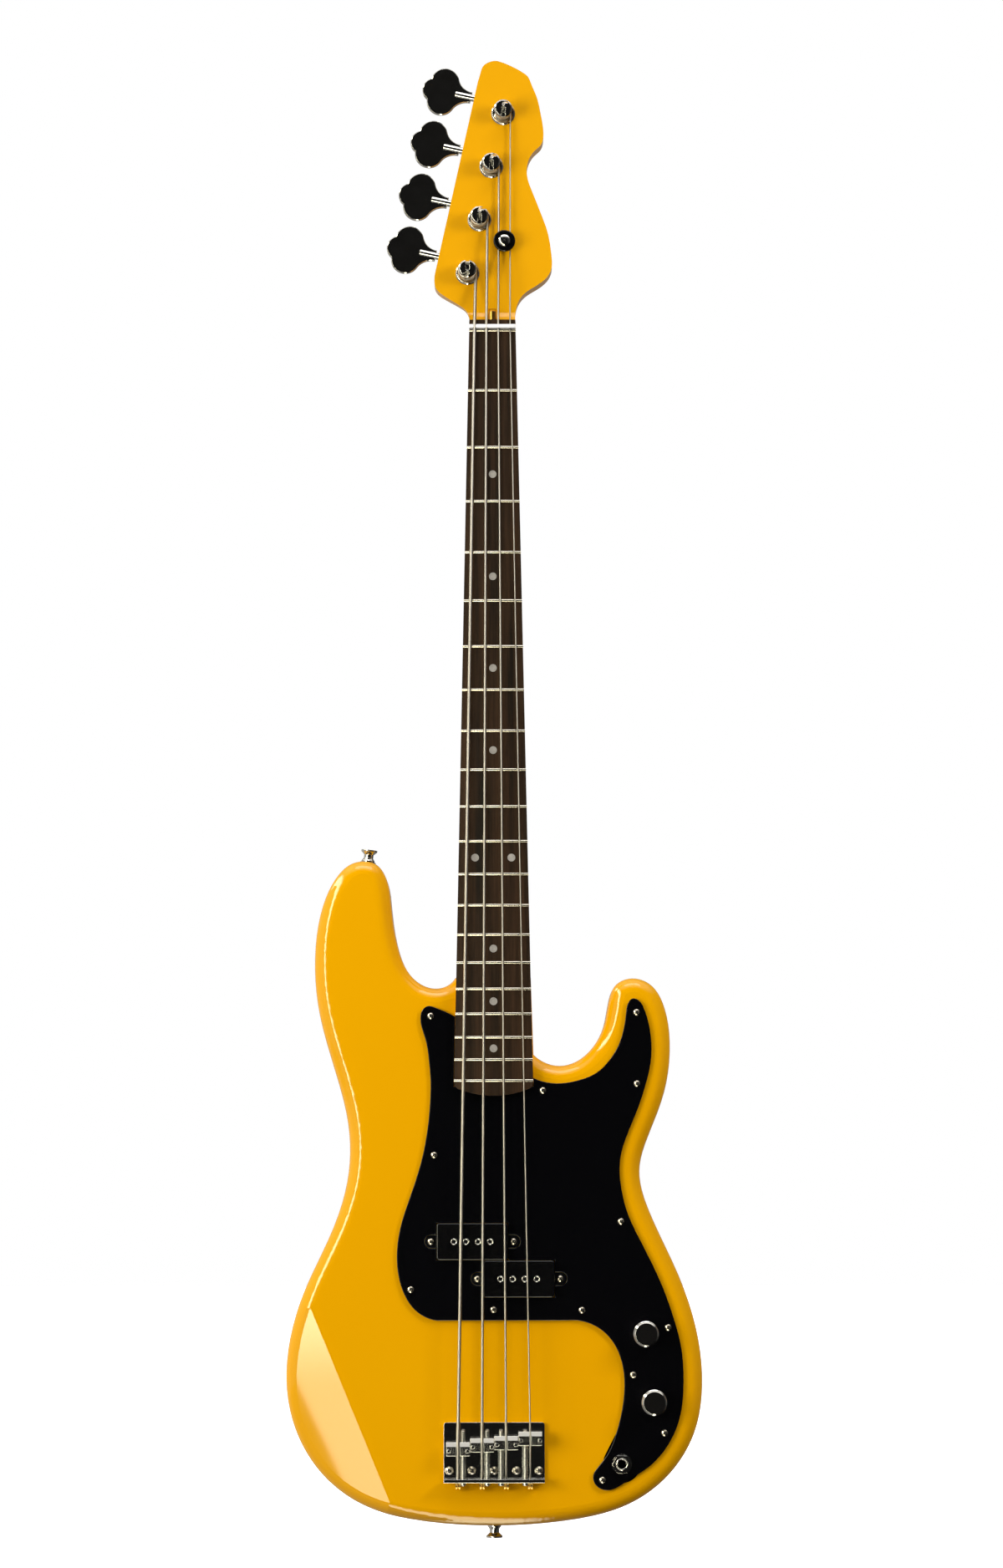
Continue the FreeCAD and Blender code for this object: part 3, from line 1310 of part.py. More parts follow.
plate = new_body("tuner_plate")
base_sketch = new_sketch(plate, "XY_Plane", PLATE_BACK)
draw_polygon(base_sketch, [
    ("-plate_width / 2", "-plate_tail"), ("plate_width / 2", "-plate_tail"),
    ("plate_width / 2", "plate_length - plate_tail"), ("-plate_width / 2", "plate_length - plate_tail")])
draw_circle(base_sketch, "0", "0", "post_diameter / 2 + body_gap")
for side in ("", "-"):
    for height in ("-plate_screw_low", "plate_screw_high"):
        draw_circle(base_sketch, side + "plate_screw_side", height,
                    "plate_screw_diameter / 2 + screw_clearance")
base_pad = feature(plate, "Pad", base_sketch, "plate_thickness")
round_corners(plate, base_pad, "z", s.plate_thickness, "plate_corner")
for offset in ("worm_length / 2 + body_gap", "-(worm_length / 2 + body_gap + ear_thickness)"):
    ear_sketch = new_sketch(plate, "YZ_Plane", offset)
    draw_polygon(ear_sketch, [
        (f"{WORM_Y} - ear_half_width", PLATE_BACK),
        (f"{WORM_Y} - ear_half_width", f"{WORM_Z} - ear_half_width"),
        (f"{WORM_Y} + ear_half_width", f"{WORM_Z} - ear_half_width"),
        (f"{WORM_Y} + ear_half_width", PLATE_BACK)])
    draw_circle(ear_sketch, WORM_Y, WORM_Z, "shaft_diameter / 2 + running_clearance")
    feature(plate, "Pad", ear_sketch, "ear_thickness")
plate_screw = screw("plate_screw", "plate_screw")
gear_screw = screw("gear_screw", "gear_screw")
doc.recompute()

plate_screws = []
for frame in tuner_frames:
    for spot in plate_screw_spots:
        plate_screws.append(at_tuner(placed(plate_screw.Shape, spot, Z_AXIS * -1), frame))
solid_node("tuner_bushings", [at_tuner(bushing.Shape, frame) for frame in tuner_frames])
solid_node("tuner_plates", [at_tuner(plate.Shape, frame) for frame in tuner_frames])
solid_node("tuner_screws", plate_screws)


def tooth_half_width(width, height):
    """Half width of a straight-flanked tooth at a height above its pitch line."""
    return width / 2 - height * math.tan(math.radians(s.pressure_angle))


def worm_thread():
    """One helical thread round the worm axis, crossing the wheel's middle at zero."""
    inner = s.shaft_diameter / 2 - s.body_gap
    outer = s.worm_diameter / 2 + s.tooth_addendum
    corners = []
    for radius, side in ((inner, -1), (outer, -1), (outer, 1), (inner, 1)):
        half = tooth_half_width(s.worm_thread_width, radius - s.worm_diameter / 2)
        corners.append(Vector(radius, 0, side * half))
    height = s.worm_length - 2 * corners[-1].z
    helix = Part.makeHelix(tooth_pitch, height, s.worm_diameter / 2)
    thread = helix.makePipeShell([Part.makePolygon(corners + corners[:1])], True, True)
    thread.rotate(Vector(0, 0, 0), Z_AXIS, -180 * height / tooth_pitch)
    towards_wheel = Rotation(Y_AXIS * -1, Z_AXIS * -1, X_AXIS, "ZXY")
    seat = Placement(Vector(-height / 2, worm_y, worm_z), towards_wheel)
    thread.Placement = seat.multiply(thread.Placement)
    return thread


def worm_key():
    """Three-lobed key that flares into its stem, with shaft and worm in one piece."""
    centre = Vector(-s.key_reach, worm_y, worm_z - s.key_thickness / 2)
    lobes = [rod(centre - X_AXIS * s.key_tip_offset, Z_AXIS, s.key_thickness, 2 * s.key_tip_radius)]
    hollow_side = s.key_neck_width / 2 + s.key_flare_radius
    reach = s.key_lobe_radius + s.key_flare_radius
    flare_run = math.sqrt(reach ** 2 - (hollow_side - s.key_side_offset) ** 2)
    neck_end = centre + X_AXIS * flare_run
    for side in (-1, 1):
        lobe = centre + Y_AXIS * (side * s.key_side_offset)
        lobes.append(rod(lobe, Z_AXIS, s.key_thickness, 2 * s.key_lobe_radius))
        hollow = neck_end + Y_AXIS * (side * hollow_side)
        ways = [(lobe - hollow).normalize(), Y_AXIS * -side]
        ways.insert(1, (ways[0] + ways[1]).normalize())
        points = [hollow + way * s.key_flare_radius for way in ways]
        flare = Part.Wire([
            Part.makeLine(centre, points[0]), Part.Arc(*points).toShape(),
            Part.makeLine(points[2], neck_end), Part.makeLine(neck_end, centre)])
        lobes.append(Part.Face(flare).extrude(Z_AXIS * s.key_thickness))
    tail_x = ear_face_x + s.ear_thickness + s.worm_tail
    shaft_start = Vector(neck_end.x - s.shaft_overlap, worm_y, worm_z)
    shaft = rod(shaft_start, X_AXIS, tail_x - shaft_start.x, s.shaft_diameter)
    blade = lobes[0].fuse(lobes[1:]).removeSplitter()
    rims = [edge for edge in blade.Edges if edge.BoundBox.ZLength < s.key_edge]
    blade = blade.makeChamfer(s.key_edge, rims)
    return blade.fuse(shaft.fuse(worm_thread()))


def worm_wheel():
    """Twenty straight-flanked teeth, twisted to the worm's lead, on a bored disc."""
    pitch_radius = s.tooth_module * s.gear_teeth / 2
    lead = tooth_pitch / (math.pi * s.worm_diameter)
    twist = s.gear_thickness * lead / pitch_radius
    levels = []
    for end in (-1, 1):
        corners = []
        for number in range(s.gear_teeth):
            middle_angle = math.pi / 2 + (2 * number + 1) * math.pi / s.gear_teeth + end * twist / 2
            for height, side in ((-s.tooth_dedendum, -1), (s.tooth_addendum, -1),
                                 (s.tooth_addendum, 1), (-s.tooth_dedendum, 1)):
                radius = pitch_radius + height
                angle = middle_angle + side * tooth_half_width(s.gear_tooth_width, height) / radius
                corners.append(Vector(
                    radius * math.cos(angle), radius * math.sin(angle), worm_z + end * s.gear_thickness / 2))
        levels.append(Part.makePolygon(corners + corners[:1]))
    wheel = Part.makeLoft(levels, True, True)
    bore = s.gear_seat_diameter + 2 * s.running_clearance
    return wheel.cut(rod(Vector(0, 0, worm_z - s.gear_thickness), Z_AXIS, 2 * s.gear_thickness, bore))


POST_FOOT = "-(headstock_thickness + worm_axis_drop + gear_thickness / 2 - screw_clearance)"
POST_SHOULDER = "-(headstock_thickness + worm_axis_drop - gear_thickness / 2 - screw_clearance)"
post_blank = turned("tuner_post", [
    ("gear_screw_diameter / 2 + screw_clearance", POST_FOOT), ("gear_seat_diameter / 2", POST_FOOT),
    ("gear_seat_diameter / 2", POST_SHOULDER), ("post_diameter / 2", POST_SHOULDER),
    ("post_diameter / 2", "post_height - post_cap_height"),
    ("post_cap_diameter / 2", "post_height - post_cap_height + post_cap_round"),
    ("post_cap_diameter / 2", "post_height - post_cap_round"),
    ("post_cap_diameter / 2 - post_cap_round", "post_height"), ("0", "post_height"),
    ("0", f"{POST_FOOT} + gear_screw_length + body_gap"),
    ("gear_screw_diameter / 2 + screw_clearance", f"{POST_FOOT} + gear_screw_length + body_gap")])
doc.recompute()


def post_cuts(i):
    """Bore, cross slot and curved mouth that take the end of one string."""
    edges, turns, tail, slot_way = string_paths[i]
    mouth = tail[0]
    start = mouth.valueAt(mouth.FirstParameter)
    end = tail[-1].valueAt(tail[-1].LastParameter)
    half = string_radii[i] + s.body_gap
    floor_y = start.y + half
    top_y = face_y - s.post_height - over
    axis_foot = Vector(post_points[i].x, floor_y, post_points[i].z)
    foot = Vector(end.x, end.y + s.body_gap, end.z)
    bore = rod(foot, FRONT, foot.y - top_y, s.post_hole_diameter)
    slot = Part.makeBox(s.post_cap_diameter, s.post_slot_width, floor_y - top_y)
    across = FRONT.cross(slot_way)
    corner = axis_foot - slot_way * s.post_cap_diameter - across * (s.post_slot_width / 2)
    slot.Placement = Placement(corner, Rotation(slot_way, across, FRONT, "ZXY"))
    outward = (start - mouth.Curve.Center).normalize()
    corners = []
    for side, y in ((-1, floor_y), (1, floor_y), (1, top_y), (-1, top_y)):
        spot = start + outward * (side * half)
        corners.append(Vector(spot.x, y, spot.z))
    sweep = math.degrees(mouth.Length / mouth.Curve.Radius)
    section = Part.Face(Part.makePolygon(corners + corners[:1]))
    return [bore, slot, section.revolve(mouth.Curve.Center, FRONT, sweep), tube(tail[1:2], half)]


key_shape = worm_key()
wheel_shape = worm_wheel()
wheel_screw = placed(gear_screw.Shape, Vector(0, 0, worm_z - s.gear_thickness / 2), Z_AXIS * -1)
for i, name in enumerate(STRINGS):
    solid_node("tuner_key_" + name, [at_tuner(key_shape, tuner_frames[i])])
    gear_shapes = [at_tuner(shape, tuner_frames[i]) for shape in (wheel_shape, wheel_screw)]
    solid_node("tuner_gear_" + name, gear_shapes)
    post = doc.addObject("Part::Feature", "post_blank_" + name)
    post.Shape = at_tuner(post_blank.Shape, tuner_frames[i])
    keep(boolean("Part::Cut", "tuner_post_" + name, post, tool("post_cuts_" + name, post_cuts(i))),
         "tuner_post_" + name)


# String tree: round black button on a stem that holds two strings down, with its screw

tree = turned("tree_button", [
    ("tree_screw_diameter / 2 + screw_clearance", "0"), ("tree_stem_diameter / 2", "0"),
    ("tree_stem_diameter / 2", "tree_string_height"), ("tree_diameter / 2 - key_edge", "tree_string_height"),
    ("tree_diameter / 2", "tree_string_height + key_edge"),
    ("tree_diameter / 2", "tree_string_height + tree_thickness - key_edge"),
    ("tree_diameter / 2 - key_edge", "tree_string_height + tree_thickness"),
    ("tree_screw_diameter / 2 + screw_clearance", "tree_string_height + tree_thickness")])
tree_screw = screw("tree_screw", "tree_screw")
doc.recompute()
tree_top = tree_point + FRONT * (s.tree_string_height + s.tree_thickness)
solid_node("string_tree", [placed(tree.Shape, tree_point), placed(tree_screw.Shape, tree_top)])


# Bridge: bent plate with a rear lip, five wood screws and four saddles on long screws and springs

LIP_TOP = "bridge_plate_thickness - lip_height"
bent_plate = new_body("bridge_bent_plate")
lip_sketch = new_sketch(bent_plate, "YZ_Plane", "-bridge_width / 2")
draw_polygon(lip_sketch, [
    ("0", "lip_thickness"), ("0", "bridge_length"), ("bridge_plate_thickness", "bridge_length"),
    ("bridge_plate_thickness", "bridge_corner"), ("bridge_plate_thickness - bridge_corner", "0"),
    (LIP_TOP, "0"), (LIP_TOP, "lip_thickness")])
lip_pad = feature(bent_plate, "Pad", lip_sketch, "bridge_width")
round_corners(bent_plate, lip_pad, "y", s.bridge_plate_thickness, "bridge_corner")
bent_plate.Placement.Base = Vector(0, plate_top_y, lip_rear_z)
intonation_y = plate_top_y - s.intonation_height
intonation_xs = [x + math.copysign(s.intonation_side, -x) for x in bridge_xs]


def bridge_holes():
    holes = []
    below = lip_rear_z - over
    for x, screw_x in zip(bridge_xs, intonation_xs):
        holes.append(rod(Vector(x, lip_string_y, below), Z_AXIS, 2 * over, s.lip_string_hole))
        clear = s.intonation_diameter + 2 * s.running_clearance
        holes.append(rod(Vector(screw_x, intonation_y, below), Z_AXIS, 2 * over, clear))
    for point in bridge_screw_points:
        holes.append(rod(point + FRONT, BACK, 2 * over, s.bridge_screw_diameter + 2 * s.screw_clearance))
    return holes


keep(boolean("Part::Cut", "bridge_plate", bent_plate, tool("bridge_holes", bridge_holes())), "bridge_plate")
bridge_screw = screw("bridge_screw", "bridge_screw")
doc.recompute()
solid_node("bridge_screws", [placed(bridge_screw.Shape, point) for point in bridge_screw_points])


def saddle_profile(front, crown_y):
    """Side view of a saddle with a crown near its front, a short nose and a falling tail."""
    crown_z = front - s.saddle_crown_setback
    rear = front - s.saddle_length
    base_y = crown_y + s.saddle_height
    return [
        Vector(0, base_y, front), Vector(0, crown_y + s.saddle_nose_drop, front), Vector(0, crown_y, crown_z),
        Vector(0, crown_y + s.saddle_tail_drop, rear), Vector(0, base_y, rear)]


def saddle(i):
    """Saddle block grooved by its string, with two height screws that stand on the plate."""
    front = saddle_zs[i] + s.saddle_crown_setback
    crown_y = saddle_seat_ys[i] - s.saddle_seat_depth
    corners = saddle_profile(front, crown_y)
    block = Part.Face(Part.makePolygon(corners + corners[:1])).extrude(X_AXIS * s.saddle_width)
    block.translate(X_AXIS * (bridge_xs[i] - s.saddle_width / 2))
    hole_start = Vector(intonation_xs[i], intonation_y, front - 2 * s.saddle_length)
    cuts = [
        tube(string_paths[i][0][2:5], string_radii[i] + s.saddle_seat_clearance),
        rod(hole_start, Z_AXIS, 3 * s.saddle_length, s.intonation_diameter + 2 * s.running_clearance)]
    screws = []
    screw_z = front - s.height_screw_setback
    slope = s.saddle_tail_drop / (s.saddle_length - s.saddle_crown_setback)
    top_y = crown_y + slope * (s.height_screw_setback - s.saddle_crown_setback) - s.height_screw_proud
    foot_y = plate_top_y - s.string_touch
    for side in (-1, 1):
        foot = Vector(bridge_xs[i] + side * s.height_screw_side, foot_y, screw_z)
        screws.append(rod(foot, FRONT, foot_y - top_y, s.height_screw_diameter))
        cuts.append(rod(foot, FRONT, 2 * s.saddle_height, s.height_screw_diameter + 2 * s.running_clearance))
    return [block.cut(cuts)] + screws


def spring_edges(i):
    """Centre line of the spring between the lip and one saddle."""
    rear = saddle_zs[i] + s.saddle_crown_setback - s.saddle_length
    length = rear - lip_front_z - s.spring_wire - 2 * s.string_touch
    start = Vector(intonation_xs[i], intonation_y, lip_front_z + s.string_touch + s.spring_wire / 2)
    edges, end, way = coil(
        start, X_AXIS, Y_AXIS, Z_AXIS, s.spring_diameter / 2, length / s.spring_turns, s.spring_turns, True)
    return edges


springs = []
for i, name in enumerate(STRINGS):
    solid_node("saddle_" + name, saddle(i))
    long_screw = turned("intonation_screw_" + name, [
        ("0", "intonation_head_height"), ("intonation_head / 2 - key_edge", "intonation_head_height"),
        ("intonation_head / 2", "intonation_head_height - key_edge"), ("intonation_head / 2", "0"),
        ("intonation_diameter / 2", "0"),
        ("intonation_diameter / 2", "key_edge - bridge_length + bridge_front_gap - intonation_tip"),
        ("intonation_diameter / 2 - key_edge", "-bridge_length + bridge_front_gap - intonation_tip"),
        ("0", "-bridge_length + bridge_front_gap - intonation_tip")])
    long_screw.Placement = Placement(
        Vector(intonation_xs[i], intonation_y, lip_rear_z - s.string_touch), Rotation(Z_AXIS, Z_AXIS * -1))
    keep(long_screw, "intonation_screw_" + name)
    path = spring_edges(i)
    springs.append(tube(path, s.spring_wire / 2))
    expected = math.pi * (s.spring_wire / 2) ** 2 * sum(edge.Length for edge in path)
    print(f"spring {name}: self-gap {least_self_gap(path, s.spring_wire):.2f} mm,",
          f"volume ratio {springs[-1].Volume / expected:.3f}")
solid_node("intonation_springs", springs)


# Strings with their ball ends, each one unbroken length from the bridge lip to the post

ball = turned("ball_end", [
    ("0", "-ball_length / 2"), ("ball_diameter / 2", "-ball_length / 2"),
    ("ball_diameter / 2", "-ball_waist"), ("ball_diameter / 2 - ball_waist", "0"),
    ("ball_diameter / 2", "ball_waist"),
    ("ball_diameter / 2", "ball_length / 2"), ("0", "ball_length / 2")])
doc.recompute()
ball_z = lip_rear_z - s.string_touch - s.ball_diameter / 2
for i, name in enumerate(STRINGS):
    edges, turns, tail, slot_way = string_paths[i]
    path = edges + turns + tail
    length = sum(edge.Length for edge in path)
    string_shape = tube(path, string_radii[i])
    expected = math.pi * string_radii[i] ** 2 * length
    gap = least_self_gap(turns + tail, 2 * string_radii[i])
    print(f"string {name}: length {length:.1f} mm, self-gap {gap:.2f} mm,",
          f"volume ratio {string_shape.Volume / expected:.3f}")
    ball_point = Vector(bridge_xs[i], lip_string_y, ball_z)
    solid_node("string_" + name, [string_shape, placed(ball.Shape, ball_point, X_AXIS)])


# Split pickup: two black covers over coils with four poles each, on foam, held by two screws per half

cover = new_body("pickup_cover")
shell_sketch = new_sketch(cover, "XY_Plane", "-cover_depth")
draw_polygon(shell_sketch, rectangle("cover_length / 2", "cover_width / 2"))
shell = feature(cover, "Pad", shell_sketch, "cover_depth + cover_rise")
shell_corners = round_corners(cover, shell, "z", s.cover_depth + s.cover_rise, "cover_corner")
doc.recompute()
rim = cover.newObject("PartDesign::Fillet", "pickup_cover_rim")
rim.Base = (shell_corners, [
    f"Edge{number}" for number, edge in enumerate(shell_corners.Shape.Edges, 1)
    if edge.BoundBox.ZMin > s.cover_rise / 2])
rim.setExpression("Radius", cell("cover_edge"))
ear_sketch = new_sketch(cover, "XY_Plane", "-body_gap - cover_ear_thickness")
for side in ("", "-"):
    draw_circle(ear_sketch, side + "ear_offset", "0", "ear_radius")
feature(cover, "Pad", ear_sketch, "cover_ear_thickness")
arm_sketch = new_sketch(cover, "XY_Plane", "-body_gap - cover_ear_thickness")
draw_polygon(arm_sketch, rectangle("ear_offset", "ear_radius"))
feature(cover, "Pad", arm_sketch, "cover_ear_thickness")
hollow_sketch = new_sketch(cover, "XY_Plane", "-cover_depth")
draw_polygon(hollow_sketch, rectangle("cover_length / 2 - cover_wall", "cover_width / 2 - cover_wall"))
feature(cover, "Pocket", hollow_sketch, "cover_depth + cover_rise - cover_wall", True)
hole_sketch = new_sketch(cover, "XY_Plane", "-cover_depth")
for side in ("", "-"):
    draw_circle(hole_sketch, side + "ear_offset", "0", "pickup_screw_diameter / 2 + screw_clearance")
    for step in (0.5, 1.5):
        draw_circle(hole_sketch, f"{side}{step} * pole_spacing", "0", "pole_diameter / 2 + screw_clearance")
feature(cover, "Pocket", hole_sketch, "cover_depth + 2 * cover_rise", True)
pickup_screw = screw("pickup_screw", "pickup_screw")
doc.recompute()

coil_top = s.cover_rise - s.cover_wall - s.body_gap
coil_foot = coil_top - 2 * s.flatwork_thickness - s.coil_height


def pickup_coil():
    """Coil between two fibre plates, with four magnet poles through them."""
    half_x, half_y = s.coil_length / 2, s.coil_width / 2
    grow = s.flatwork_thickness
    middle_block = Part.makeBox(
        2 * half_x, 2 * half_y, s.coil_height, Vector(-half_x, -half_y, coil_foot + s.flatwork_thickness))
    uprights = [edge for edge in middle_block.Edges if edge.BoundBox.ZLength > s.coil_height / 2]
    pieces = [middle_block.makeFillet(half_y * 0.9, uprights)]
    for height in (coil_foot, coil_top - s.flatwork_thickness):
        pieces.append(Part.makeBox(
            2 * (half_x + grow), 2 * (half_y + grow), s.flatwork_thickness,
            Vector(-half_x - grow, -half_y - grow, height)))
    for i in range(len(STRINGS)):
        foot = Vector((i - middle) * s.pole_spacing, 0, coil_foot - s.pole_rise)
        pieces.append(rod(foot, Z_AXIS, s.cover_rise + s.pole_rise - foot.z, s.pole_diameter))
    return pieces[0].fuse(pieces[1:])


coil_shape = pickup_coil()
foam_pads = []
floor_y = body_top_y + s.pickup_cavity_depth
for name, point in pickup_points.items():
    solid_node("pickup_cover_" + name, [placed(cover.Shape, point)])
    solid_node("pickup_coil_" + name, [placed(coil_shape, point)])
    seats = [point + X_AXIS * (side * s.ear_offset) + BACK * s.body_gap for side in (-1, 1)]
    held = [placed(pickup_screw.Shape, seat) for seat in seats]
    solid_node("pickup_screws_" + name, held)
    foam_y = guard_top_y - coil_foot + s.pole_rise + s.foam_gap
    foam_pads.append(Part.makeBox(
        s.coil_length, floor_y - foam_y, s.coil_width,
        Vector(point.x - s.coil_length / 2, foam_y, point.z - s.coil_width / 2)))
solid_node("pickup_foam", foam_pads)


# Controls: knob with shaft, housing below the guard, washer and nut; output jack; wiring in the cavity

knob = turned("control_knob", [
    ("0", "-(knob_gap + guard_thickness + shaft_insert)"),
    ("pot_shaft_diameter / 2", "-(knob_gap + guard_thickness + shaft_insert)"),
    ("pot_shaft_diameter / 2", "knob_recess_depth"), ("knob_recess_diameter / 2", "knob_recess_depth"),
    ("knob_recess_diameter / 2", "0"), ("knob_diameter / 2", "0"),
    ("knob_diameter / 2", "knob_height * 0.72"), ("knob_diameter / 2 - knob_groove", "knob_height * 0.74"),
    ("knob_diameter / 2 - knob_groove", "knob_height * 0.78"), ("knob_top_diameter / 2", "knob_height * 0.8"),
    ("knob_top_diameter / 2", "knob_height - knob_edge"),
    ("knob_top_diameter / 2 - knob_edge", "knob_height"), ("0", "knob_height")])
POT_BORE = "pot_shaft_diameter / 2 + running_clearance"
POT_FLOOR = "-(guard_thickness + shaft_insert + body_gap)"
housing = turned("pot_housing", [
    (POT_BORE, "pot_bushing_height"), ("pot_bushing_diameter / 2", "pot_bushing_height"),
    ("pot_bushing_diameter / 2", "-guard_thickness"),
    ("pot_case_diameter / 2 - knob_edge", "-guard_thickness"),
    ("pot_case_diameter / 2", "-guard_thickness - knob_edge"),
    ("pot_case_diameter / 2", "-guard_thickness - pot_case_height"),
    ("0", "-guard_thickness - pot_case_height"),
    ("0", POT_FLOOR), (POT_BORE, POT_FLOOR)])
lug_sketch = new_sketch(housing, "XY_Plane", "-guard_thickness - pot_case_height / 2")
draw_polygon(lug_sketch, [
    ("pot_case_diameter / 4", "-pot_lug_width / 2"), ("pot_lug_length", "-pot_lug_width / 2"),
    ("pot_lug_length", "pot_lug_width / 2"), ("pot_case_diameter / 4", "pot_lug_width / 2")])
feature(housing, "Pad", lug_sketch, "pot_lug_thickness")


def ring_nut(name, bore, size, height):
    """Hexagon nut over a plain washer, standing on zero height."""
    washer = turned(name + "_washer", [
        (f"{bore} / 2 + screw_clearance", "0"), ("washer_diameter / 2", "0"),
        ("washer_diameter / 2", "washer_thickness"), (f"{bore} / 2 + screw_clearance", "washer_thickness")])
    nut_body = new_body(name + "_nut")
    nut_sketch = new_sketch(nut_body, "XY_Plane", "washer_thickness")
    draw_polygon(nut_sketch, [(f"{size} / 1.732 * {x}", f"{size} / 1.732 * {y}") for x, y in HEX_SHARES])
    draw_circle(nut_sketch, "0", "0", f"{bore} / 2 + screw_clearance")
    feature(nut_body, "Pad", nut_sketch, height)
    return washer, nut_body


pot_ring = ring_nut("pot", "pot_bushing_diameter", "pot_nut_size", "pot_nut_height")
jack_ring = ring_nut("jack", "jack_barrel_diameter", "jack_nut_size", "jack_nut_height")
JACK_BORE = "jack_bore_diameter / 2"
barrel = turned("jack_barrel", [
    (JACK_BORE, "jack_barrel_rise"), ("jack_barrel_diameter / 2", "jack_barrel_rise"),
    ("jack_barrel_diameter / 2", "-guard_thickness"), ("jack_flange_diameter / 2", "-guard_thickness"),
    ("jack_flange_diameter / 2", "-guard_thickness - jack_flange_thickness"),
    ("jack_barrel_diameter / 2", "-guard_thickness - jack_flange_thickness"),
    ("jack_barrel_diameter / 2", "-jack_barrel_depth"), (JACK_BORE, "-jack_barrel_depth")])
leaf_sketch = new_sketch(barrel, "XY_Plane", "-guard_thickness - jack_flange_thickness - jack_leaf_length")
draw_polygon(leaf_sketch, [
    ("jack_barrel_diameter / 2 + body_gap", "-jack_leaf_width / 2"),
    ("jack_barrel_diameter / 2 + body_gap + jack_leaf_thickness", "-jack_leaf_width / 2"),
    ("jack_barrel_diameter / 2 + body_gap + jack_leaf_thickness", "jack_leaf_width / 2"),
    ("jack_barrel_diameter / 2 + body_gap", "jack_leaf_width / 2")])
feature(barrel, "Pad", leaf_sketch, "jack_leaf_length + jack_flange_thickness / 2")
doc.recompute()

case_back_y = body_top_y + s.pot_case_height
pot_span = (tone_point - volume_point).normalize()
jack_span = (jack_point - tone_point).normalize()
side_way = BACK.cross(pot_span)


def pot_at(point, way):
    """Housing below the guard with its lugs pointing along a direction."""
    copy = housing.Shape.copy()
    copy.Placement = Placement(point, Rotation(way, FRONT.cross(way), FRONT, "ZXY")).multiply(copy.Placement)
    return copy


capacitor_middle = Vector(tone_point.x, case_back_y + s.capacitor_diameter / 2, tone_point.z)
capacitor_middle -= pot_span * (s.pot_case_diameter / 4)
capacitor_end = capacitor_middle - side_way * (s.capacitor_length / 2)
capacitor = rod(capacitor_end, side_way, s.capacitor_length, s.capacitor_diameter)
solid_node("volume_pot", [pot_at(volume_point, pot_span)])
solid_node("tone_pot", [pot_at(tone_point, pot_span * -1), capacitor])
jack_body = solid_node("output_jack", [barrel.Shape])
jack_body.Placement = Placement(jack_point, Rotation(jack_span, FRONT.cross(jack_span), FRONT, "ZXY"))
rings = [placed(ring.Shape, point) for point in (volume_point, tone_point) for ring in pot_ring]
rings += [placed(ring.Shape, jack_point) for ring in jack_ring]
solid_node("control_nuts", rings)
for name, point in (("volume", volume_point), ("tone", tone_point)):
    solid_node(name + "_knob", [placed(knob.Shape, point + FRONT * s.knob_gap)])


def wire(points):
    return tube(bent_run(points, s.wire_bend_radius), s.wire_diameter / 2)


def at_depth(point, y):
    return Vector(point.x, y, point.z)


lug_y = body_top_y + s.pot_case_height / 2 + s.string_touch
deep_y = body_top_y + s.cavity_depth * 0.65
lug_reach = s.pot_lug_length - s.wire_diameter
first_lug, second_lug = volume_point + pot_span * lug_reach, tone_point - pot_span * lug_reach
tone_solder = tone_point + jack_span * (s.pot_case_diameter / 3)
jack_solder = jack_point - jack_span * (s.jack_flange_diameter / 2 - s.wire_diameter)
treble_ear = pickup_points["treble"] + X_AXIS * s.ear_offset
channel_way = (volume_point - treble_ear).normalize()
channel_y = body_top_y + s.channel_depth * 0.6
channel_start = treble_ear + channel_way * (s.ear_radius + s.wire_diameter)
flange_back_y = body_top_y + s.jack_flange_thickness + s.string_touch
solid_node("wiring", [
    wire([at_depth(first_lug, lug_y), at_depth(first_lug, deep_y), at_depth(second_lug, deep_y),
          at_depth(second_lug, lug_y)]),
    wire([at_depth(tone_solder, case_back_y + s.string_touch), at_depth(tone_solder, deep_y),
          at_depth(jack_solder, deep_y), at_depth(jack_solder, flange_back_y)]),
    wire([at_depth(channel_start, channel_y),
          at_depth(volume_point - channel_way * s.cavity_radius, channel_y),
          at_depth(volume_point, deep_y - s.wire_bend_radius),
          at_depth(volume_point, case_back_y + s.string_touch)])])


# Every object has to be sound before anything is written

doc.recompute()
for item in doc.Objects:
    if "Invalid" in item.State or "Error" in item.State:
        raise RuntimeError(f"{item.Label} did not build: {item.State}")
for item in nodes:
    if item.Shape.isNull() or not item.Shape.isValid() or not item.Shape.Solids:
        raise RuntimeError(f"{item.Label} is not a sound solid")

os.makedirs("parts", exist_ok=True)
for item in nodes:
    item.Shape.exportStep(os.path.join("parts", item.Label + ".step"))
print(len(nodes), "sub-parts written")
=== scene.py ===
import math

import bmesh
import bpy
from mathutils import Matrix, Vector


